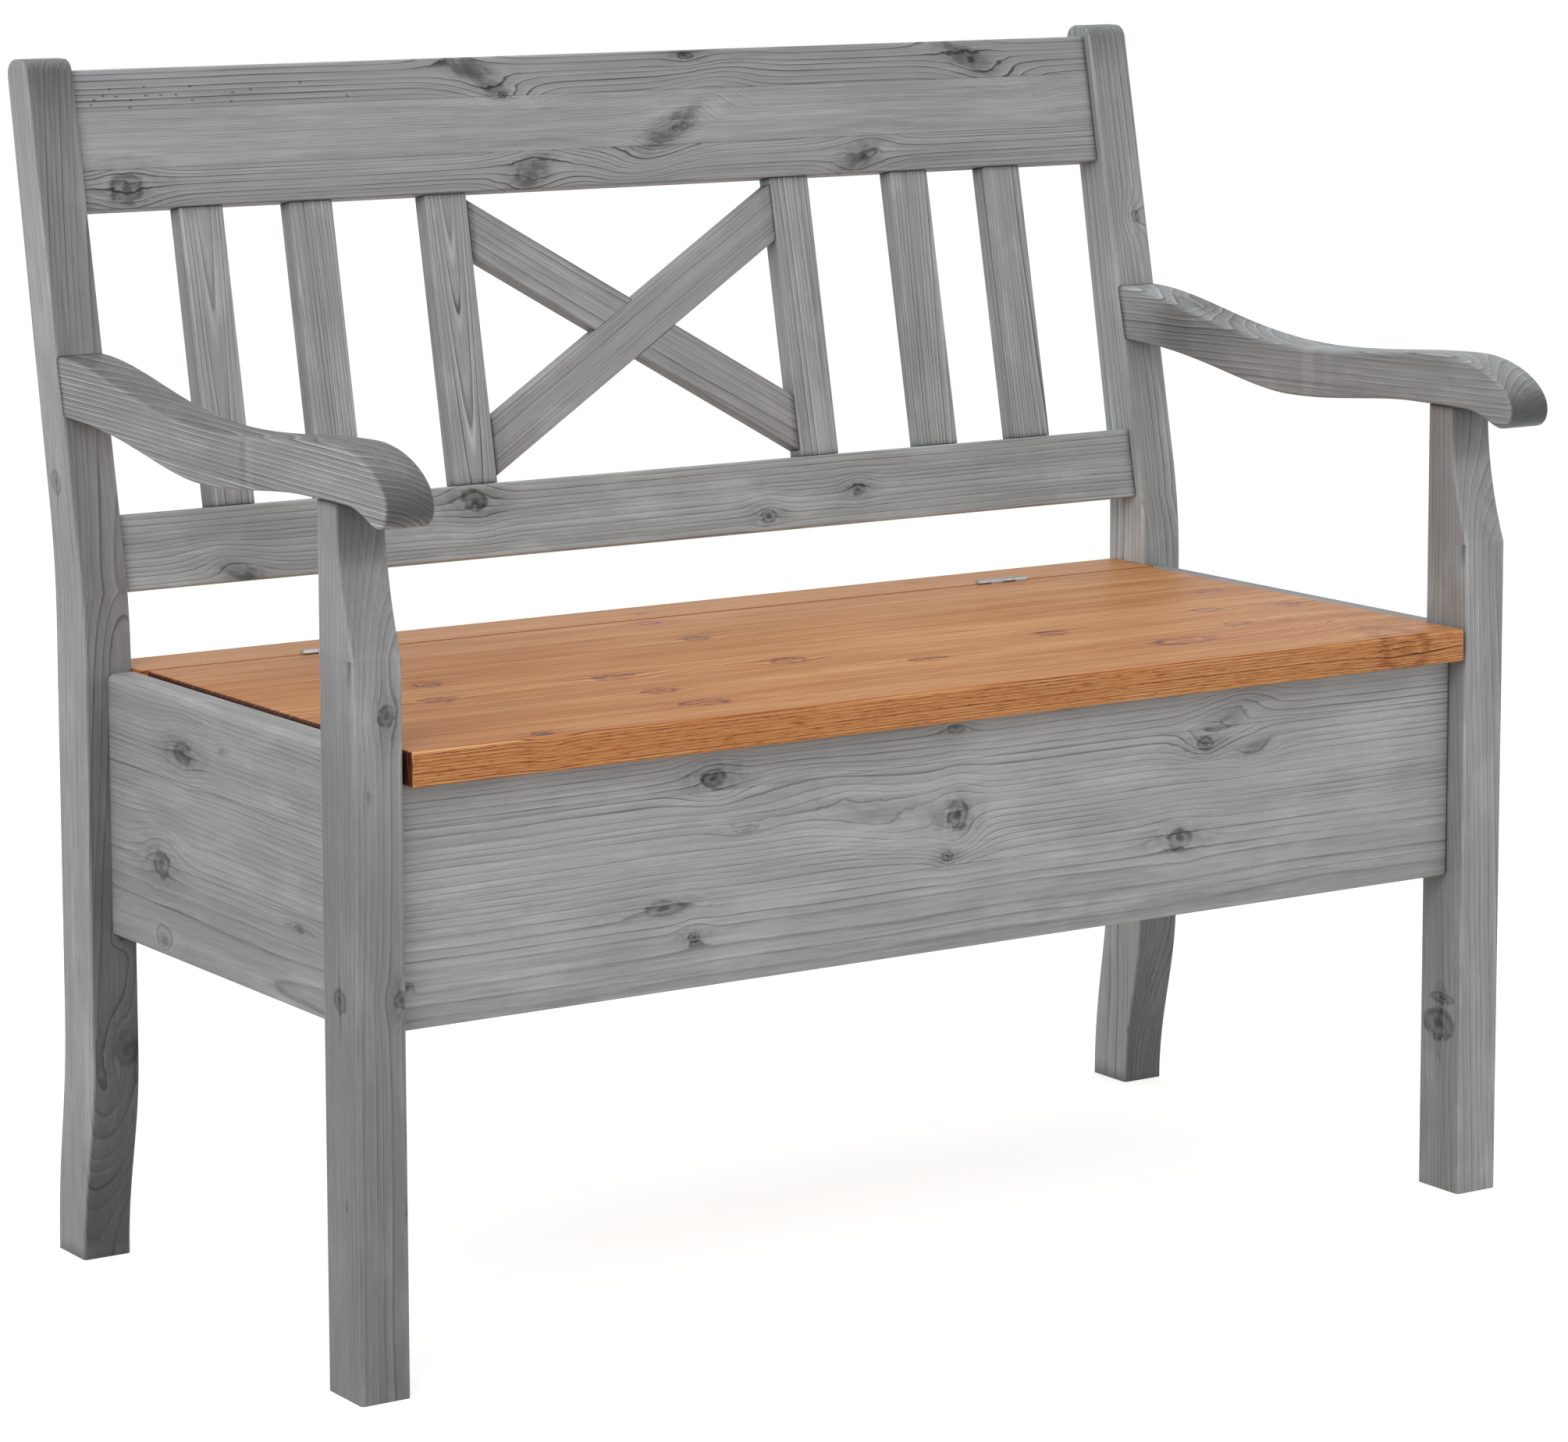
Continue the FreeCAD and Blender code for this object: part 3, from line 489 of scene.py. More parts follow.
def sectionRing(low, high, radii, flatSteps):
    # rounded rectangle: corner + r (cos a, sin a) for the four quarters, straight lines between them
    (v0, w0), (v1, w1) = low, high
    r0, r1, r2, r3 = radii
    middles = ((v0 + r0, w0 + r0), (v1 - r1, w0 + r1), (v1 - r2, w1 - r2), (v0 + r3, w1 - r3))
    corners = []
    for (v, w), r, start in zip(middles, radii, (math.pi, 1.5 * math.pi, 0, 0.5 * math.pi)):
        corners.append(np.stack([v + r * np.cos(start + quarter), w + r * np.sin(start + quarter)], 1))
    ring, wornAndSheen = [], []
    for k in range(4):
        a, b = corners[k][-1], corners[(k + 1) % 4][0]
        edge = min(support / max(np.linalg.norm(b - a), support * 3), 0.3)
        shares = np.concatenate([[edge], np.linspace(0, 1, flatSteps + 1)[1:-1], [1 - edge]])[:, None]
        ring += [corners[k], a + (b - a) * shares]
        wornAndSheen += [edgeWearAndSheen, np.zeros(len(shares))]
    return np.concatenate(ring), np.concatenate(wornAndSheen)


def endRun(end):
    # distance in from the end and inset of the section: e (1 - cos t), e (1 - sin t)
    away = np.concatenate([[0], end * (1 - np.cos(quarter)), end + np.array([support, 1.5, 4.0])])
    inset = np.concatenate([[end + support], end * (1 - np.sin(quarter)), np.zeros(3)])
    wornAndSheen = np.concatenate([[0], edgeWearAndSheen, np.zeros(3)])
    return away, inset, wornAndSheen


def tubeFaces(rows, columns):
    # quads between neighbouring rings and a flat cap at each end
    i = np.arange(rows - 1)[:, None] * columns
    j = np.arange(columns)[None, :]
    after = (j + 1) % columns
    quads = np.stack([i + j, i + after, i + columns + after, i + columns + j], -1).reshape(-1, 4).tolist()
    last = (rows - 1) * columns
    return quads + [list(range(columns))[::-1], list(range(last, last + columns))]


def boardGrid(low, high, radii, end, extra=(), flatSteps=4, gap=60.0):
    # rounded section carried from u0 to u1, drawn in by a quarter circle at both ends
    (u0, v0, w0), (u1, v1, w1) = low, high
    away, inset, wornAndSheen = endRun(end)
    inner = away[-1] + 6                   # evenly spaced sections start this far in
    count = max(int((u1 - u0 - 2 * inner) / gap), 2)
    middle = np.sort(np.concatenate([np.linspace(u0 + inner, u1 - inner, count + 1), np.array(extra, float)]))
    along = np.concatenate([u0 + away, middle, u1 - away[::-1]])
    insets = np.concatenate([inset, np.zeros(len(middle)), inset[::-1]])
    wornAndSheenAlong = np.concatenate([wornAndSheen, np.zeros(len(middle)), wornAndSheen[::-1]])
    rings = []
    for k in range(len(along)):
        i = insets[k]
        ring, wornAndSheenRound = sectionRing((v0 + i, w0 + i), (v1 - i, w1 - i),
                                      [max(r - i, sharp) for r in radii], flatSteps)
        rings.append(ring)
    rings = np.array(rings)
    points = np.concatenate([np.broadcast_to(along[:, None, None], (*rings.shape[:2], 1)), rings], 2)
    return points, np.maximum(wornAndSheenAlong[:, None], wornAndSheenRound[None, :])


def shapedBar(sideA, sideB, xLow, xHigh, radius, closed):
    # two matched curves a(s), b(s) in the YZ plane; at both side faces each is inset by r (1 - sin t)
    # along its normal while x moves in by r (1 - cos t), and straight lines fill the side faces
    def normals(side, other, sign):
        first = other[1] if closed[0] else 2 * side[0] - side[1]
        final = other[-2] if closed[1] else 2 * side[-1] - side[-2]
        line = np.concatenate([[first], side, [final]])
        run = np.diff(line, axis=0)
        run /= np.linalg.norm(run, axis=1)[:, None]
        square = np.stack([run[:, 1], -run[:, 0]], 1) * sign
        both = square[1:] + square[:-1]
        return both / (1 + np.sum(square[1:] * square[:-1], 1))[:, None]

    loop = np.concatenate([sideA, sideB[::-1]])
    area = np.sum(loop[:, 0] * np.roll(loop[:, 1], -1) - np.roll(loop[:, 0], -1) * loop[:, 1])
    sign = 1 if area > 0 else -1
    across = np.linspace(xLow + radius, xHigh - radius, 5)[1:-1]
    flat = np.zeros(len(across) + 2)
    drawn, moved = radius * (1 - np.sin(quarter)), radius * (1 - np.cos(quarter))
    x = np.concatenate([xLow + moved, [xLow + radius + support], across, [xHigh - radius - support],
                        (xHigh - moved)[::-1]])
    inset = np.concatenate([drawn, flat, drawn[::-1]])
    wornAndSheen = np.concatenate([edgeWearAndSheen, flat, edgeWearAndSheen[::-1]])
    rowsA = sideA[:, None] - normals(sideA, sideB, sign)[:, None] * inset[None, :, None]
    rowsB = sideB[:, None] - normals(sideB, sideA, -sign)[:, None] * inset[None, :, None]
    rowsB = rowsB[:, ::-1]
    if not closed[0]:                      # the first end is cut level
        rowsA[0, :, 1], rowsB[0, :, 1] = sideA[0, 1], sideB[0, 1]
    gap = np.maximum(np.linalg.norm(rowsA[:, -1] - rowsB[:, 0], axis=1), 1e-3)
    edge = np.minimum(support / gap, 0.2)[:, None]
    shares = np.concatenate([edge, np.tile([0.3, 0.5, 0.7], (len(edge), 1)), 1 - edge], 1)[:, :, None]
    highSide = rowsA[:, -1:] * (1 - shares) + rowsB[:, :1] * shares
    lowSide = rowsB[:, -1:] * (1 - shares) + rowsA[:, :1] * shares
    plane = np.concatenate([rowsA, highSide, rowsB, lowSide], 1)
    filled = shares.shape[1]
    xRing = np.concatenate([x, np.full(filled, xHigh), x[::-1], np.full(filled, xLow)])
    xAll = np.broadcast_to(xRing[None, :, None], (*plane.shape[:2], 1))
    wearAndSheen = np.concatenate([wornAndSheen, np.zeros(filled), wornAndSheen[::-1], np.zeros(filled)])
    return np.concatenate([xAll, plane], 2), np.broadcast_to(wearAndSheen[None], plane.shape[:2])


def addPiece(name, shells, material, body, nodes, seams=(), axes=None, paintedLight=None):
    # shells: (grid, edge wear and painted sheen) pairs; seams: (point, direction) planes where dirt and shadow gather;
    # the last argument, a function of place and facing, gives the painted light and shade: how much lighter or darker
    # each place is painted than the rest
    verts, faces, wearAndSheen = [], [], []
    for grid, wornAndSheen in shells:
        start = sum(len(item) for item in verts)
        faces += [[index + start for index in face] for face in tubeFaces(*grid.shape[:2])]
        verts.append(grid.reshape(-1, 3))
        wearAndSheen.append(wornAndSheen.reshape(-1))
    verts = np.concatenate(verts)
    if axes is not None:
        origin, along, across, out = (np.array(item, float) for item in axes)
        verts = origin + verts[:, :1] * along + verts[:, 1:2] * across + verts[:, 2:] * out
    seam = np.zeros(len(verts))
    seamReach = 1.7
    for point, direction in seams:
        away = np.abs((verts - np.array(point)) @ np.array(direction, float))
        seam = np.maximum(seam, np.exp(-away / seamReach))
    mesh = bpy.data.meshes.new(name)
    mesh.from_pydata((verts * mm).tolist(), [], faces)
    # lighter rounded edges, edge wear and painted sheen, are kept as a point attribute beside the seams
    for key, values in (("wearAndSheen", np.concatenate(wearAndSheen)), ("seam", seam)):
        mesh.attributes.new(key, "FLOAT", "POINT").data.foreach_set("value", values.astype(np.float32))
    mended = bmesh.new()
    mended.from_mesh(mesh)
    bmesh.ops.remove_doubles(mended, verts=mended.verts, dist=1e-6)
    bmesh.ops.recalc_face_normals(mended, faces=mended.faces)
    mended.to_mesh(mesh)
    mended.free()
    # painted light and shade: each place is made lighter or darker by which way it faces, kept in the face attribute
    if paintedLight:
        place, facing = np.zeros(len(mesh.vertices) * 3), np.zeros(len(mesh.vertices) * 3)
        mesh.vertices.foreach_get("co", place)
        mesh.vertex_normals.foreach_get("vector", facing)
        values = paintedLight(place.reshape(-1, 3) / mm, facing.reshape(-1, 3)).astype(np.float32)
        mesh.attributes.new("face", "FLOAT", "POINT").data.foreach_set("value", values)
    mesh.polygons.foreach_set("use_smooth", np.ones(len(mesh.polygons), bool))
    mesh.materials.append(material)
    piece = bpy.data.objects.new(name, mesh)
    scene.collection.objects.link(piece)
    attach(piece, body)
    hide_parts(*nodes)


def greyPiece(name, shells, woodAxes, look, node, seams=(), axes=None, paintedLight=None):
    material = woodMaterial(f"greyPine_{name}", "grey", woodAxes, look)
    addPiece(name, shells, material, "frame", [node], seams, axes, paintedLight)


def paintedFaceLight(table):
    # table: rows of (height, left, front, top) tones of painted light and shade; between rows they change evenly
    # with height, and each place that faces left, front or up takes them by the squares of its facing, so sides and
    # tops are painted lighter or darker as the light falls, and shadows under the armrests are painted on
    table = np.array(table, float)

    def paintedLight(place, facing):
        left, front, top = (np.interp(place[:, 2], table[:, 0], table[:, k]) for k in (1, 2, 3))
        share = np.maximum(facing * (-1, -1, 1), 0)**2
        return share[:, 0] * left + share[:, 1] * front + share[:, 2] * top
    return paintedLight


def endPiece(piece, side, name, node, sides, closed, woodAxes, seams=()):
    # a bar between two side curves at the left or right end of the bench; woodAxes begins with its y and z
    width, outer = piece["width"], piece["outer"]
    xLow = -outer if side == "left" else outer - width
    grid = shapedBar(*sides, xLow, xLow + width, piece["edge"], closed)
    (y, z), along, across = woodAxes
    # the side's faces table paints light and shade on the bar
    greyPiece(f"{name}_{side}", [grid], ((xLow + width / 2, y, z), along, across), piece[side], f"{node}_{side}",
              seams, None, paintedFaceLight(piece[side]["faces"]))


level = ((0, 0, 0), (1, 0, 0), (0, 0, 1), (0, 1, 0))        # u, v, w are x, z, y
levelSide = ((0, 0, 0), (0, 1, 0), (0, 0, 1), (1, 0, 0))    # u, v, w are y, z, x
levelTop = ((0, 0, 0), (1, 0, 0), (0, 1, 0), (0, 0, 1))     # u, v, w are x, y, z

leg = dict(
    width=40, front=-248.0, rear=-198.0, neckFront=-226.5, notch=537.28, top=647.28, edge=2.5, outer=530.0,
    shoulder=1.5, neckRun=55, heights=(0, 1, 4, 30, 100, 180, 260, 340, 420, 500),
    left=dict(
        pith=(34, -62), lean=(0.02, 0.01), width=3.8, wander=0.9, lines=0.17, light=0.08, fibre=0.55, seed=4.2,
        tone=0.97,
        # faces: painted light and shade by height, and a painted shadow of the armrest on the neck at the top
        faces=((0, -0.18, -0.27, 0), (400, -0.17, -0.14, 0), (532, -0.06, 0.08, 0), (541, 0.08, -0.13, 0),
               (598, 0.08, -0.13, 0), (612, 0.02, -0.4, 0), (647, -0.04, -0.5, 0)),
        knots=((497, 7, -25, 8, 7, 7, 0.95), (292, 16, -25, 7, 6, 7, 1.1), (291, -20, 0, 9, 9, 2.6, 1.6),
               (137, 19, -25, 4, 2, 5), (143, -20, -6, 4, 3, 0.6), (440, -9, -25, 4, 2, 5, 0.5))),
    right=dict(
        pith=(46, -58), lean=(-0.03, 0.01), width=3.8, wander=0.9, lines=0.2, fibre=0.6, seed=7.7,
        # faces: painted light and shade by height, and a painted shadow of the armrest on the neck at the top
        faces=((0, -0.02, 0.04, 0), (532, 0.0, 0.06, 0), (541, -0.03, -0.06, 0), (598, -0.05, -0.06, 0),
               (612, -0.1, -0.3, 0), (647, -0.14, -0.4, 0)),
        knots=((138, -20, 1, 13, 12, 5.5, 1.4), (160, -20, -3, 4, 8, 4.5, 1.0))))


def frontLeg(side):
    front, top = leg["front"], leg["top"]
    neckStart = (leg["neckFront"], leg["notch"] + leg["neckRun"])
    shoulder = cornerArc((front, 0), (front, leg["notch"]), neckStart, leg["shoulder"], 3)
    hollow = bezier([shoulder[-1], neckStart, (leg["neckFront"], top)], 14)
    shaft = np.array([(front, z) for z in leg["heights"]] + [shoulder[0]])
    final = hollow[-2]
    tip = np.array([hollow[-1] + (final - hollow[-1]) * share for share in (0.5, 0.2, 0.07, 0.0)])
    sideA = chain(shaft, shoulder, hollow[:-1], np.concatenate([[final], tip]))
    sideB = np.stack([np.full(len(sideA), leg["rear"]), sideA[:, 1]], 1)
    endPiece(leg, side, "leg", "front_leg", (sideA, sideB), (False, False),
             ((leg["rear"] - 25, 0), (0, 0, 1), (1, 0, 0)), [((0, 0, top), (0, 0, 1))])


rakeFront, rakeRear = math.radians(11.5), math.radians(10.25)
post = dict(
    width=40, outer=530.0, front=180.155, rear=231.155, kick=22.5, foot=46.5, footHigh=165.0, footPull=0.38,
    heelHigh=200.0, heelPull=0.425, bend=515.5, rearBend=551.0, bendRun=46.0, top=936.5, crown=12.0, edge=2.5,
    left=dict(
        pith=(-12, -64), lean=(0.06, 0.0), width=3.0, wander=0.5, lines=0.4, light=0.08, band=0.14, seed=2.9,
        bend=(530, 0.196),
        # faces: painted light and shade by height: the side lighter, the front darker low down and at the crown, whose
        # top is painted darker
        faces=((0, 0.06, -0.58, 0), (120, 0.08, -0.44, 0), (300, 0.08, -0.36, 0), (500, 0.16, -0.26, 0),
               (880, 0.26, -0.24, 0), (925, 0.2, -0.44, -0.25)),
        knots=((171, 9, -20, 14, 10, 12, 0.8), (262, 7, -20, 5, 4, 8), (613, -20, 3, 9, 9, 2.6, 0.9))),
    right=dict(
        pith=(54, 40), lean=(-0.006, 0.0), width=3.4, wander=0.5, lines=0.34, seed=9.4, tint=(0.96, 1.0, 1.01),
        bend=(530, 0.196),
        # faces: painted light and shade by height: the side lighter low down, the front darker low down and at the
        # crown
        faces=((0, 0.66, -0.34, 0), (300, 0.66, -0.12, 0), (600, 0.18, -0.02, 0), (880, 0.16, -0.02, 0),
               (925, 0.1, -0.3, -0.2)),
        knots=((402, 4, -20, 6, 5, 9), (236, -10, -20, 5, 4, 9), (770, 8, 0, 6, 5, 14))))


def rearPost(side):
    top, run = post["top"], post["bendRun"]

    def edgeCurve(low, footAt, footHigh, pull, bend, rake, corner, inward):
        # foot curve, upright, bend, raked line, crown, then in to the middle of the top
        foot = bezier([(footAt, 0), (footAt, footHigh * pull), (low, footHigh * (1 - pull)), (low, footHigh)], 16)
        high = (low + run * math.sin(rake), bend + run * math.cos(rake))
        turn = bezier([(low, bend - run), (low, bend), high], 10)
        arc = cornerArc(high, (corner, top), (corner + inward * 50, top), post["crown"], 8)
        return chain(foot, straight((low, footHigh), (low, bend - run), 8), turn,
                     straight(high, arc[0], 12), arc)

    frontCorner = post["front"] + (top - post["bend"]) * math.tan(rakeFront)
    rearCorner = post["rear"] + (top - post["rearBend"]) * math.tan(rakeRear)
    footFront = post["front"] + post["kick"]
    sideA = edgeCurve(post["front"], footFront, post["footHigh"], post["footPull"], post["bend"], rakeFront,
                      frontCorner, 1)
    sideB = edgeCurve(post["rear"], footFront + post["foot"], post["heelHigh"], post["heelPull"], post["rearBend"],
                      rakeRear, rearCorner, -1)
    middle = (sideA[-1] + sideB[-1]) / 2
    sideA, sideB = np.concatenate([sideA, [middle]]), np.concatenate([sideB, [middle]])
    endPiece(post, side, "post", "rear_post", (sideA, sideB), (False, True),
             ((post["front"] + 25, 0), (0, 0, 1), (1, 0, 0)))


arm = dict(
    outer=530.0, width=40, low=635.5, rise=76.0, nose=-298.5, root=220.03, edge=3.0, flatZ=647.28, flatFront=-238.0,
    flatRear=-176.0, rootUnder=665.0, rootFrom=120,
    left=dict(
        pith=(-85, -24), lean=(0.03, 0.0), width=3.8, wander=0.5, lines=0.36, light=0.62, band=0.16, seed=3.3,
        # faces: painted light and shade: the front much darker and the top darker than the side
        faces=((0, -0.06, -0.64, -0.38),),
        spots=(((-47, 0, 0), (7, 90, 90), 0.22), ((-57, 0, 0), (8, 90, 90), -0.14))),
    right=dict(
        pith=(-74, 28), lean=(-0.02, 0.0), width=3.8, wander=0.6, lines=0.34, light=0.28, soft=0.04, seed=6.1,
        # faces: painted light and shade: the front much darker than the side
        tint=(0.955, 1.0, 1.015), faces=((0, -0.02, -0.66, -0.02),), knots=((165, 27, -4, 12, 7, 10, 0.6),),
        spots=(((160, 0, 0), (66, 90, 90), 0.34), ((178, 0, 0), (30, 90, 90), 0.22),
               ((-3, 0, 0), (11, 90, 90), -0.22), ((-30, 0, 0), (9, 90, 90), -0.12))))


def armrest(side):
    root, flatZ = arm["root"], arm["flatZ"]
    reach = root - arm["nose"]

    def at(*pairs):
        # shares of the reach forward of the root and of the rise above the lowest line
        return [(root - a * reach, arm["low"] + b * arm["rise"]) for a, b in pairs]

    nose = bezier(at((1, 0.19), (1, 0.45), (0.93, 0.7), (0.85, 0.7)), 26)
    hand = bezier(at((0.85, 0.7), (0.75, 0.7), (0.62, 0.575), (0.5, 0.575)), 22)
    rear = bezier(at((0.5, 0.575), (0.27, 0.575), (0.15, 1), (0, 1)), 34)
    sideA = chain(nose, hand, rear)
    lip = bezier(at((1, 0.19), (1, 0.07), (0.989, 0), (0.972, 0)), 400)
    chin, belly = at((0.972, 0), (0.952, 0)), at((0.58, 0.03), (0.46, 0.03))
    flatFront, flatRear = arm["flatFront"], arm["flatRear"]
    chinRun = bezier(chin + [((flatFront + chin[0][0]) / 2, flatZ), (flatFront, flatZ)], 60)
    flat = straight((flatFront, flatZ), (flatRear, flatZ), 4)
    bellyRun = bezier([(flatRear, flatZ), ((flatRear + belly[0][0]) / 2, flatZ)] + belly, 120)
    rootRun = bezier(at((0.46, 0.03), (0.335, 0.03), (0.215, 0.388), (0, 0.388)), 120)
    under = chain(lip, chinRun, flat, bellyRun, rootRun)
    lean = root - (post["front"] + (arm["rootUnder"] - post["bend"]) * math.tan(rakeFront))
    y = sideA[:, 0] - lean * np.clip((sideA[:, 0] - arm["rootFrom"]) / (root - arm["rootFrom"]), 0, 1)
    sideB = np.stack([y, np.interp(y, under[:, 0], under[:, 1])], 1)
    normal = (0, math.cos(rakeFront), -math.sin(rakeFront))
    endPiece(arm, side, "arm", "armrest", (sideA, sideB), (True, False), ((-40, 680), (0, 1, 0), (0, 0, 1)),
             [((0, root, arm["low"] + arm["rise"]), normal)])


for side in ("left", "right"):
    frontLeg(side)
    rearPost(side)
    armrest(side)
print("legs, posts and armrests made")

# backrest: u, v, w across, up the rake and back from the posts' front face
rakeUp = (0, math.sin(rakeFront), math.cos(rakeFront))
rakeBack = (0, math.cos(rakeFront), -math.sin(rakeFront))
rakeOrigin = (0, post["front"], post["bend"])
railAxes = (rakeOrigin, (1, 0, 0), rakeUp, rakeBack)
slatAxes = (rakeOrigin, rakeUp, (1, 0, 0), rakeBack)
back = dict(
    inner=490.0, recess=8.0, thick=24.0, topLow=311.57, topHigh=422.07, lowLow=14.93, lowHigh=74.63, edge=2.0,
    end=0.7, gap=0.8, tint=(0.98, 1.0, 1.03),
    top=dict(
        lean=(0.006, 0), wander=0.35, seed=5.6, cloud=0.2, patch=0.05, staves=(343.0, 389.0),
        staveRows=((0.97, 262, -20, 3.2, 0.7), (1.06, 452, -30, 1.5, 0.3), (0.94, 300, -40, 4.8, 0.6)),
        dots=((-474, 394), (-471, 398), (-463, 401), (-457, 406), (-452, 400), (-441, 391), (-439, 397),
              (-427, 407), (-426, 400), (-413, 400), (-400, 400), (-387, 406), (-386, 395), (-352, 393),
              (-350, 400), (-334, 402), (-289, 406), (-248, 394)),
        through=((-451, 327, 14, 11, 1.1), (-128, 407, 24, 10, 1.1, -0.45), (-105, 390, 4, 3, 1.2),
                 (75, 417, 8, 3, 1.2), (364, 407, 24, 10, 1.0, -0.4), (57, 358, 24, 10, 1.0, 0.45),
                 (-84, 325, 17, 11, 1.1, 0.25), (240, 325, 17, 10, 1.0, 0.25))),
    low=dict(
        pith=(112, -30), lean=(0.004, 0), lines=0.44, width=4.0, wander=0.6, seed=8.3, tone=1.11,
        tint=(0.94, 1.0, 1.01),
        through=((-173, 62, 11, 9, 1.1), (199, 43, 7, 5), (107, 28, 8, 6), (-382, 19, 15, 7, 1.0, -0.3))))
sidePlanes = [((x, 0, 0), (1, 0, 0)) for x in (-back["inner"], back["inner"])]    # inner sides of legs and posts


def rail(name, low, high, node):
    half, front = back["inner"] - back["gap"], back["recess"]
    grid = boardGrid((-half, low, front), (half, high, front + back["thick"]), [back["edge"]] * 4, back["end"])
    greyPiece(f"rail_{name}", [grid], railAxes[:3], {"tint": back["tint"], **back[name]}, node, sidePlanes, railAxes)


rail("top", back["topLow"], back["topHigh"], "top_rail")
rail("low", back["lowLow"], back["lowHigh"], "lower_rail")

slat = dict(
    width=38.5, thick=18.0, recess=10.5, edge=2.0, end=0.5, gap=0.3,
    # centre, pith, tone and lean of each
    rows=((-387.0, (3, -26), 1.02, 0.022), (-289.5, (-32, -30), 1.0, -0.02), (-166.5, (2, -24), 0.99, 0.03),
          (166.5, (-36, 26), 1.02, 0.018), (289.5, (34, -32), 1.04, -0.025), (387.0, (30, -30), 1.04, 0.02)),
    look=dict(width=2.7, wander=0.5, lines=0.44, light=0.24, band=0.34, tint=(0.962, 1.0, 1.025)))

slatLow, slatHigh = back["lowHigh"], back["topLow"]
slatEnds = [(tuple(Vector(rakeOrigin) + Vector(rakeUp) * up), rakeUp) for up in (slatLow, slatHigh)]
for index, (centre, pith, tone, lean) in enumerate(slat["rows"]):
    look = dict(slat["look"], pith=pith, lean=(0.0, lean), tone=tone, seed=11.3 + 2.7 * index)
    origin = Vector(rakeOrigin) + Vector((centre, 0, 0)) + Vector(rakeBack) * (slat["recess"] + slat["thick"] / 2)
    half, front = slat["width"] / 2, slat["recess"]
    grid = boardGrid((slatLow + slat["gap"], centre - half, front),
                     (slatHigh - slat["gap"], centre + half, front + slat["thick"]),
                     [slat["edge"]] * 4, slat["end"], gap=40.0)
    greyPiece(f"slat_{index + 1}", [grid], (origin, rakeUp, (1, 0, 0)), look, f"back_slat_{index + 1}", slatEnds,
              slatAxes)

brace = dict(
    width=40.0, thick=15.0, recess=11.5, endGap=5.5, edge=1.0, lapGap=0.3, between=166.5,
    rising=dict(pith=(40, -34), width=2.4, wander=0.5, lines=0.34, seed=21.0, tone=0.98),
    falling=dict(pith=(-30, 40), wander=0.5, lines=0.34, seed=24.4, tone=0.95))


def crossBrace(name, sign, wholeInFront):
    # u(t) runs between two slanted end lines, so every section is cut upright, or along the other diagonal
    halfRun = brace["between"] - slat["width"] / 2
    halfRise = (slatHigh - slatLow) / 2 - brace["endGap"]
    half, edge = brace["width"] / 2, brace["edge"]
    slope = math.acos(half / math.hypot(halfRun, halfRise)) - math.atan2(halfRun, halfRise)
    along = Vector((math.cos(slope), 0, 0)) + Vector(rakeUp) * math.sin(slope) * sign
    across = Vector((-math.sin(slope) * sign, 0, 0)) + Vector(rakeUp) * math.cos(slope)
    origin = Vector(rakeOrigin) + Vector(rakeUp) * (slatHigh + slatLow) / 2
    upright = math.tan(slope) * sign                # u of an upright end grows with v by this share
    crossing = -sign / math.tan(2 * slope)          # and along the other diagonal's long edges by this
    reach = halfRun / math.cos(slope)
    lap = half / math.sin(2 * slope) + brace["lapGap"]

    def shell(inFront, start, end):
        # start and end: (u at v = 0, tilt)
        low = brace["recess"] + (0 if inFront else brace["thick"] / 2)
        radii = [edge, edge, sharp, sharp] if inFront else [sharp, sharp, edge, edge]
        grid, wearAndSheen = boardGrid((0, -half, low), (1000, half, low + brace["thick"] / 2), radii, 0.5, gap=40.0)
        share = grid[..., 0] / 1000
        a = start[0] + start[1] * grid[..., 1]
        b = end[0] + end[1] * grid[..., 1]
        grid[..., 0] = a + (b - a) * share
        return grid, wearAndSheen

    shells = [shell(wholeInFront, (-reach, upright), (reach, upright)),
              shell(not wholeInFront, (-reach, upright), (-lap, crossing)),
              shell(not wholeInFront, (lap, crossing), (reach, upright))]
    ends = [((x, 0, 0), (1, 0, 0)) for x in (-halfRun, halfRun)]
    greyPiece(f"brace_{name}", shells, (origin, along, across), dict(brace[name], tint=back["tint"]),
              f"cross_brace_{name}", ends, (origin, along, across, rakeBack))


crossBrace("rising", 1, True)
crossBrace("falling", -1, False)
print("backrest made")

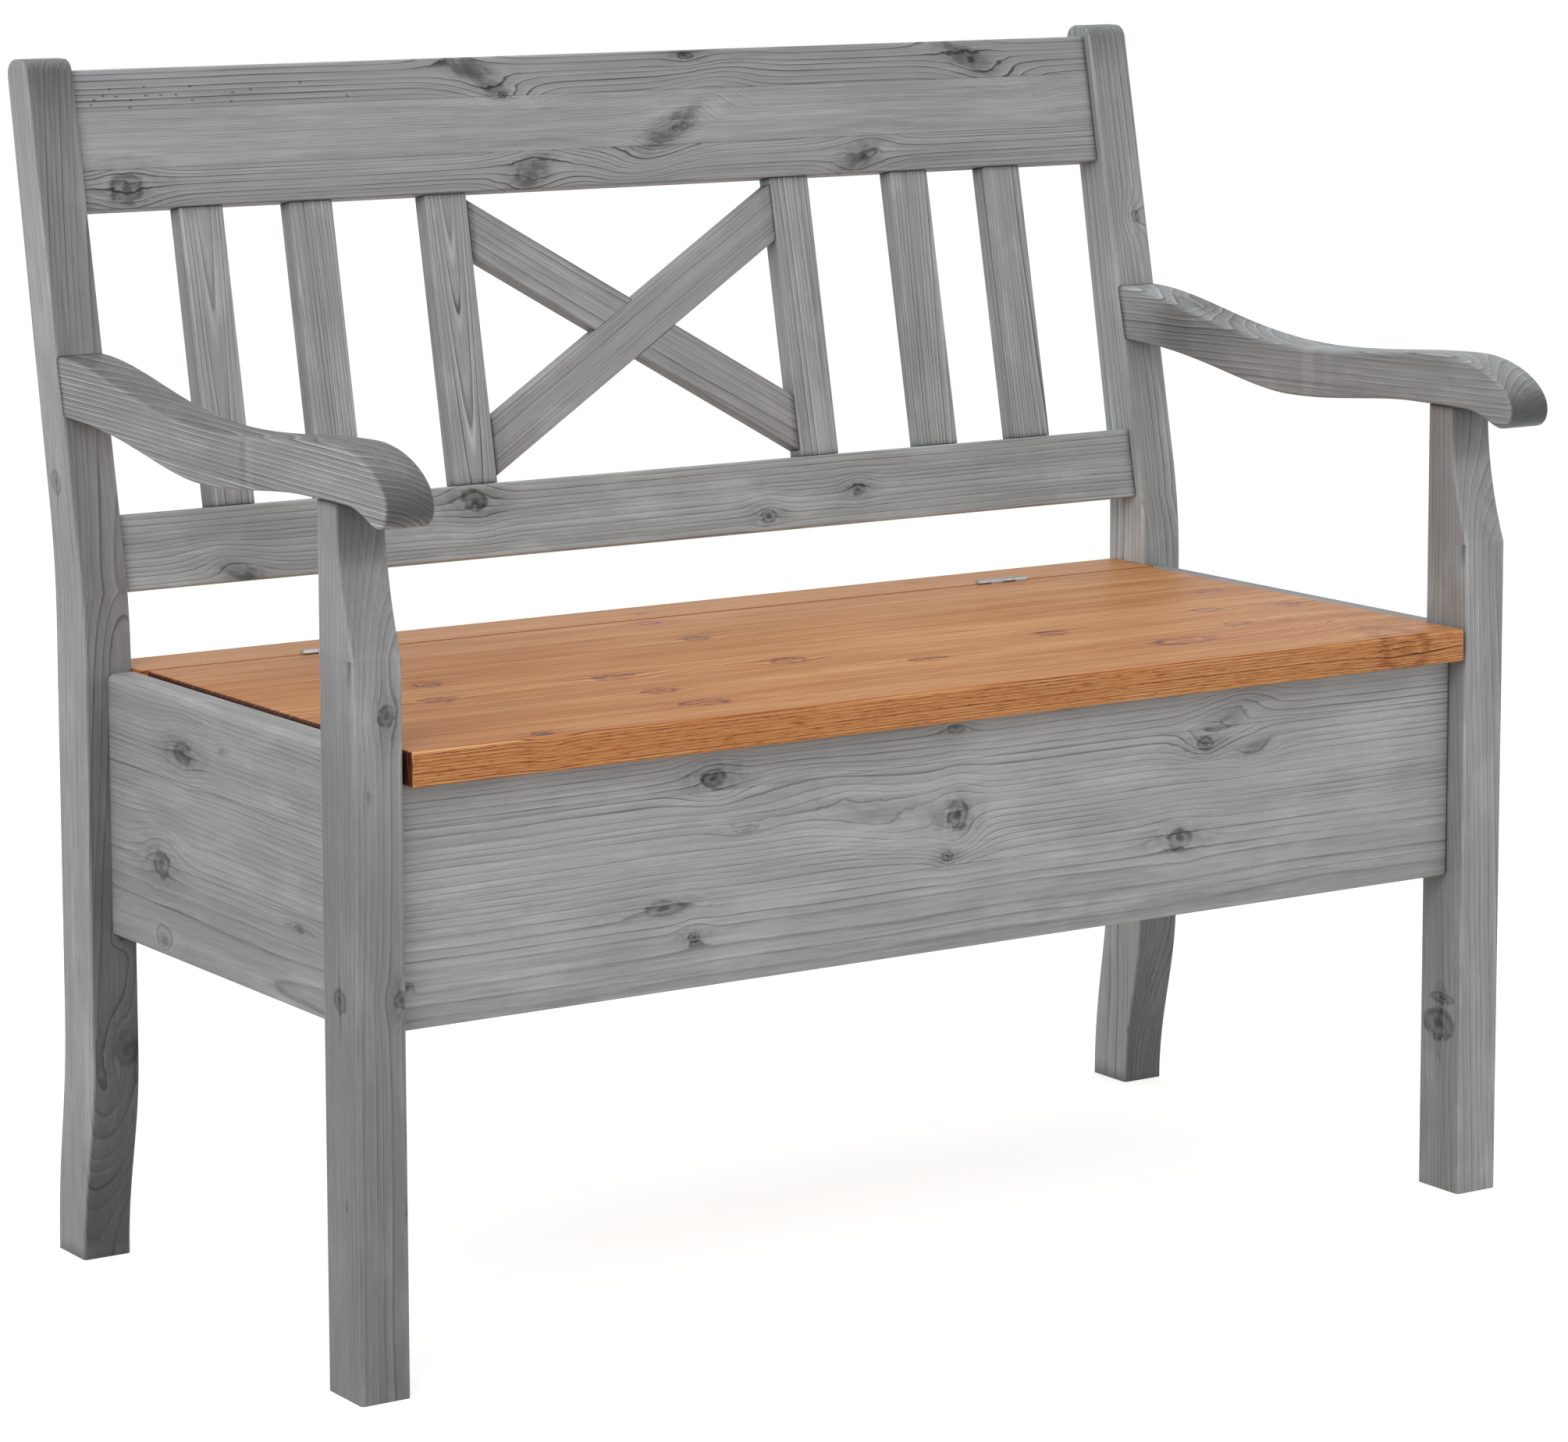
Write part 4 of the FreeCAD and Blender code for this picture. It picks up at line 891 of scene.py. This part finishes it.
chest = dict(
    inner=490.0, low=264.0, high=444.0, front=-229.8, thick=22.0, backFront=191.155, sideHigh=468.0,
    sideFront=-198.0, sideRear=180.155, gap=0.6, round=6.0,
    frontLook=dict(
        lean=(0.004, 0.0), wander=0.8, light=0.06, soft=0.05, seed=31.0, tone=1.16, patch=0.09, cloud=0.22,
        lowBand=278.0, staves=(329.0, 410.0),
        staveRows=((1.01, 240, -70, 6.0, 0.28), (1.01, 470, -60, 4.2, 0.32), (1.01, 330, -70, 3.6, 0.34)),
        through=((-219, 420, 11, 7, 1.2), (-237, 302, 6, 4, 1.1), (-263, 327, 20, 6, 0.8),
                 (262, 417, 17, 8, 0.6, 0.25), (239, 398, 8, 6), (290, 390, 12, 5, 0.6, 0.2), (1, 368, 9, 12, 1.1),
                 (-9, 336, 5, 4), (214, 325, 13, 8, 1.1), (0, 434, 8, 4, 0.8), (-191, 378, 12, 3, 0.5),
                 (-80, 378, 30, 9, 0.3, -0.3), (-479, 296, 2.5, 2.5))),
    backLook=dict(
        pith=(390, -60), width=3.6, lines=0.26, seed=33.0, patch=0.1, staves=(325.0, 396.0),
        through=((-330, 300, 9, 6), (120, 352, 8, 6), (301, 420, 6, 4), (-90, 410, 5, 4))),
    left=dict(
        pith=(270, 50), lean=(0.012, 0), width=4.0, wander=0.7, lines=0.28, soft=0.05, seed=35.5, tone=1.07,
        patch=0.1, staves=(334.0, 402.0), staveChange=(30, 14),
        through=((54, 425, 13, 9, 1.1), (91, 334, 14, 11, 1.1), (-130, 324, 8, 2.5), (-12, 437, 4, 3, 0.7),
                 (89, 276, 4, 3, 0.7))),
    right=dict(
        pith=(360, -58), lean=(-0.01, 0), width=3.4, lines=0.26, seed=37.1, patch=0.1, staves=(330.0, 398.0),
        through=((-60, 300, 9, 6), (80, 410, 7, 5))))


def longPanel(name, front, half, radii, end):
    # a chest board across the bench, from y = front backwards
    thick = chest["thick"]
    grid = boardGrid((-half, chest["low"], front), (half, chest["high"], front + thick), radii, end)
    greyPiece(f"panel_{name}", [grid], ((0, front + thick / 2, 0), (1, 0, 0), (0, 0, 1)), chest[name + "Look"],
              f"{name}_panel", sidePlanes, level)


def sidePanel(side):
    inner, thick, gap = chest["inner"], chest["thick"], chest["gap"]
    xLow = -inner - thick if side == "left" else inner
    radii = [1.0, chest["round"], 0.8, 0.8] if side == "left" else [0.8, 0.8, chest["round"], 1.0]
    grid = boardGrid((chest["sideFront"] + gap, chest["low"], xLow),
                     (chest["sideRear"] - gap, chest["sideHigh"], xLow + thick), radii, 1.6)
    ends = [((0, y, 0), (0, 1, 0)) for y in (chest["sideFront"], chest["sideRear"])]
    greyPiece(f"panel_{side}", [grid], ((xLow + thick / 2, 0, 0), (0, 1, 0), (0, 0, 1)), chest[side],
              f"side_panel_{side}", ends, levelSide)


longPanel("front", chest["front"], chest["inner"] - chest["gap"], [1.0, chest["round"], 0.8, 0.8], 3.0)
longPanel("back", chest["backFront"], chest["inner"], [0.8, 0.8, 1.0, 1.0], 1.0)
sidePanel("left")
sidePanel("right")
print("chest made")

seat = dict(
    lidHalf=486.0, lidFront=-252.0, lidRear=163.155, low=444.0, high=470.0, edge=3.0, stripHalf=489.5,
    stripFront=165.155, stripRear=225.155, hinge=325.0, hingeHalf=25.3, notch=1.85,
    notchSteps=(-0.7, -0.05, 0.05, 0.7),
    lidLook=dict(
        pith=(-45, -26), lean=(0.0, 0.004), width=6.4, wander=0.5, lines=0.6, light=0.28, soft=0.16, band=0.38,
        bars=0.66, fibre=1.35, cloud=0.2, patch=0.06, seed=41.0, tone=1.015,
        # drift paints a sheen on the lid, lighter towards its right end
        staves=(-170.0, -80.0, -8.0, 52.0, 110.0), staveChange=(95, 8), ends=485.0, endShade=1.0, drift=0.00008,
        rim=-251.6, crease=164.2, knots=((-372, -240, 13, 8, 6, 8, 2.0), (424, -252, 3, 26, 60, 6, 0.5)),
        throughAt=20,
        through=((-204, -196, 20, 11), (-52, 59, 11, 10, 1.1), (-43, 145, 10, 8), (-206, -135, 15, 10),
                 (-51, -74, 17, 11), (-201, -61, 17, 11, 0.9), (-364, -76, 15, 10, 0.9), (-338, -13, 12, 9),
                 (265, -171, 28, 14, 0.8), (353, -128, 14, 8, 0.8), (375, -57, 12, 7, 0.9), (440, 24, 14, 8, 0.8),
                 (452, -68, 12, 9, 0.9), (198, -82, 15, 9), (44, -128, 17, 9, 0.9))),
    stripLook=dict(
        pith=(0, -60), width=2.6, lines=0.22, seed=43.0, tone=1.08, cloud=0.16, patch=0.04, fibre=0.26,
        crease=164.2, through=((-21, 190, 6, 4), (260, 205, 6, 4, 0.8))))

notchEdges = [sign * seat["hinge"] + half + step for sign in (-1, 1)
              for half in (-seat["hingeHalf"], seat["hingeHalf"]) for step in seat["notchSteps"]]


def seatBoard(name, body, node, half, front, rear, radii, end, look, seams=()):
    # a board with a notch for each hinge in the edge towards the gap between lid and strip
    grid, wearAndSheen = boardGrid((-half, front, seat["low"]), (half, rear, seat["high"]), radii, end, notchEdges)
    inNotch = np.abs(np.abs(grid[..., 0]) - seat["hinge"]) < seat["hingeHalf"]
    inward = 1 if body == "frame" else -1
    edge = front if body == "frame" else rear
    inNotch &= inward * (edge - grid[..., 1]) > -2
    grid[..., 1] += np.where(inNotch, inward * seat["notch"], 0)
    material = woodMaterial(f"honeyPine_{name}", "honey", ((0, 0, 457), (1, 0, 0), (0, 1, 0)), look)
    addPiece(f"{name}_board", [(grid, wearAndSheen)], material, body, [node], seams, levelTop)


seatBoard("lid", "lid", "seat_lid", seat["lidHalf"], seat["lidFront"], seat["lidRear"],
          [1.2, 0.8, 0.9, seat["edge"]], seat["edge"], seat["lidLook"])
seatBoard("strip", "frame", "seat_strip", seat["stripHalf"], seat["stripFront"], seat["stripRear"],
          [0.8, 1.0, seat["edge"], 0.9], 0.8, seat["stripLook"], sidePlanes)

batten = dict(
    width=60.0, thick=18.0, centre=290.0, front=-193.8, rear=123.2, high=444.0, edge=3.0,
    look=dict(pith=(0, -50), width=3.4, lines=0.3, through=((30, 8, 6, 5),)))
for side, sign in (("left", -1), ("right", 1)):
    xMiddle, half, high = sign * batten["centre"], batten["width"] / 2, batten["high"]
    material = woodMaterial(f"rawPine_batten_{side}", "raw", ((xMiddle, 0, 435), (0, 1, 0), (1, 0, 0)),
                            dict(batten["look"], seed=51.0 + sign))
    grid = boardGrid((batten["front"], xMiddle - half, high - batten["thick"]), (batten["rear"], xMiddle + half, high),
                     [batten["edge"], batten["edge"], 0.6, 0.6], batten["edge"])
    addPiece(f"batten_{side}", [grid], material, "lid", [f"lid_batten_{side}"], (),
             ((0, 0, 0), (0, 1, 0), (1, 0, 0), (0, 0, 1)))
print("seat made")

# the kept CAD pieces get their materials
steel = dict(colour=(0.46, 0.46, 0.465), rough=0.30, roughChange=0.25, spangle=(0.9, 0.9, 0.9),
             spangleTone=(0.35, 0.82), scratch=(0.02, 1.2, 1.2), bump=0.25, bumpDepth=0.05)


def steelMaterial():
    material = newMaterial("zincSteel")
    place = placeOn()
    spangle = noise(place, steel["spangle"], 3.0, 0.6)[0]
    brushed = noise(place, steel["scratch"], 2.0, 0.5)[0]
    shader = addNode("BsdfPrincipled")
    shader.inputs["Metallic"].default_value = 1.0
    feed(shader.inputs["Base Color"], vec("SCALE", steel["colour"], timesPlus(spangle, *steel["spangleTone"])))
    feed(shader.inputs["Roughness"], timesPlus(brushed, steel["roughChange"], steel["rough"]))
    addBump(shader, brushed, steel["bump"], steel["bumpDepth"])
    toSurface(shader)
    return material


def dress(names, material):
    for name in names:
        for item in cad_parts[name].material_slots:
            item.material = material


cleat = dict(pith=(-30, 14), width=3.0, lines=0.3)
dress(["front_cleat", "rear_cleat", "hinge_rail"],
      woodMaterial("rawPine_long", "raw", ((0, 0, 270), (1, 0, 0), (0, 0, 1)), dict(cleat, seed=61.0)))
dress(["side_cleat_left", "side_cleat_right"],
      woodMaterial("rawPine_cross", "raw", ((0, 0, 270), (0, 1, 0), (0, 0, 1)), dict(cleat, seed=63.0)))
dress(["bottom_board"],
      woodMaterial("plywood", "raw", ((0, 0, 288), (1, 0, 0), (0, 1, 0)),
                   dict(pith=(0, -90), lean=(0.01, 0.03), width=5.5, lines=0.18, light=0.05, seed=65.0,
                        tone=0.97, through=((120, -60, 9, 7), (-260, 90, 8, 6)))))
dress([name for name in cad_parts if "dowels" in name],
      woodMaterial("beechDowel", "beech", ((0, 0, 0), (1, 0, 0), (0, 0, 1)),
                   dict(pith=(0, 20), width=1.2, lines=0.12, seed=67.0)))
dress([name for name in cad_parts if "screws" in name or name.startswith("hinge_") and name != "hinge_rail"],
      steelMaterial())
print("kept pieces dressed")

# floor, background, light and camera; each lamp has its place, power and size and points at the seat
studio = dict(
    floorSize=14.0, floorSteps=8, floorGrey=0.55, floorGlow=0.72, ambient=0.6, aim=(0, 0, 0.45),
    lamps=dict(key=((-3.0, -2.2, 2.5), 78.0, 2.4), fill=((2.6, -3.2, 1.6), 26.0, 2.6),
               top=((0.4, 0.6, 3.4), 24.0, 2.6)))


def seenDirectly():
    # 1 where the camera looks, also through or by way of something shiny, 0 for the light on the object
    path = addNode("LightPath").outputs
    return calc("MAXIMUM", path["Is Camera Ray"],
                calc("MAXIMUM", path["Is Glossy Ray"], path["Is Transmission Ray"]))


def buildFloor():
    # z = 0 over a square grid
    side, count = studio["floorSize"], studio["floorSteps"]
    steps = np.linspace(-side, side, count + 1)
    x, y = np.meshgrid(steps, steps)
    verts = np.stack([x.ravel(), y.ravel(), np.zeros(x.size)], 1)
    index = (np.arange(count)[:, None] * (count + 1) + np.arange(count)[None, :]).ravel()
    faces = np.stack([index, index + 1, index + count + 2, index + count + 1], 1)
    mesh = bpy.data.meshes.new("floor")
    mesh.from_pydata(verts.tolist(), [], faces.tolist())
    material = newMaterial("paleFloor")
    matte = addNode("BsdfDiffuse")
    matte.inputs["Color"].default_value = (*[studio["floorGrey"]] * 3, 1.0)
    glow = addNode("Emission")
    glow.inputs["Strength"].default_value = studio["floorGlow"]
    pale = addNode("AddShader")
    feed(pale.inputs[0], matte.outputs[0])
    feed(pale.inputs[1], glow.outputs[0])
    mix = addNode("MixShader")
    feed(mix.inputs[0], seenDirectly())
    feed(mix.inputs[1], matte.outputs[0])
    feed(mix.inputs[2], pale.outputs[0])
    toSurface(mix)
    mesh.materials.append(material)
    floor = bpy.data.objects.new("floor", mesh)
    scene.collection.objects.link(floor)
    floor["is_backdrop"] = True


def buildLight():
    world = scene.world = bpy.data.worlds.new("studio")
    world.use_nodes = True
    work["tree"] = world.node_tree
    work["tree"].nodes.clear()
    sky = addNode("Background")
    sky.inputs["Color"].default_value = (1, 1, 1, 1)
    feed(sky.inputs["Strength"], timesPlus(seenDirectly(), 1 - studio["ambient"], studio["ambient"]))
    toSurface(sky, "OutputWorld")
    for name, (place, power, size) in studio["lamps"].items():
        light = bpy.data.lights.new(name, "AREA")
        light.energy, light.size = power, size
        lamp = bpy.data.objects.new(name, light)
        lamp.location = place
        lamp.rotation_euler = (Vector(studio["aim"]) - Vector(place)).to_track_quat("-Z", "Y").to_euler()
        scene.collection.objects.link(lamp)


camera = dict(place=(-2.24133, -3.39725, 1.13558), turn=0.58208, tilt=0.13198, roll=-0.00238,
              sensor=36.0, lens=118.997, shift=-0.15)


def buildCamera():
    turn, tilt, roll = camera["turn"], camera["tilt"], camera["roll"]
    right = Vector((math.cos(turn), -math.sin(turn), 0))
    ahead = Vector((math.sin(turn), math.cos(turn), 0))
    view = ahead * math.cos(tilt) - Vector((0, 0, 1)) * math.sin(tilt)
    up = Vector((0, 0, 1)) * math.cos(tilt) + ahead * math.sin(tilt)
    rolled = right * math.cos(roll) + up * math.sin(roll)
    up = up * math.cos(roll) - right * math.sin(roll)
    data = bpy.data.cameras.new("camera")
    data.sensor_fit = "HORIZONTAL"
    data.sensor_width = camera["sensor"]
    data.lens = camera["lens"]
    data.shift_y = camera["shift"]
    item = bpy.data.objects.new("camera", data)
    item.matrix_world = Matrix.Translation(camera["place"]) @ Matrix((rolled, up, -view)).transposed().to_4x4()
    scene.collection.objects.link(item)
    scene.camera = item


buildFloor()
buildLight()
buildCamera()
scene.view_settings.view_transform = "Standard"
print("stage, light and camera set")

low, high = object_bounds()
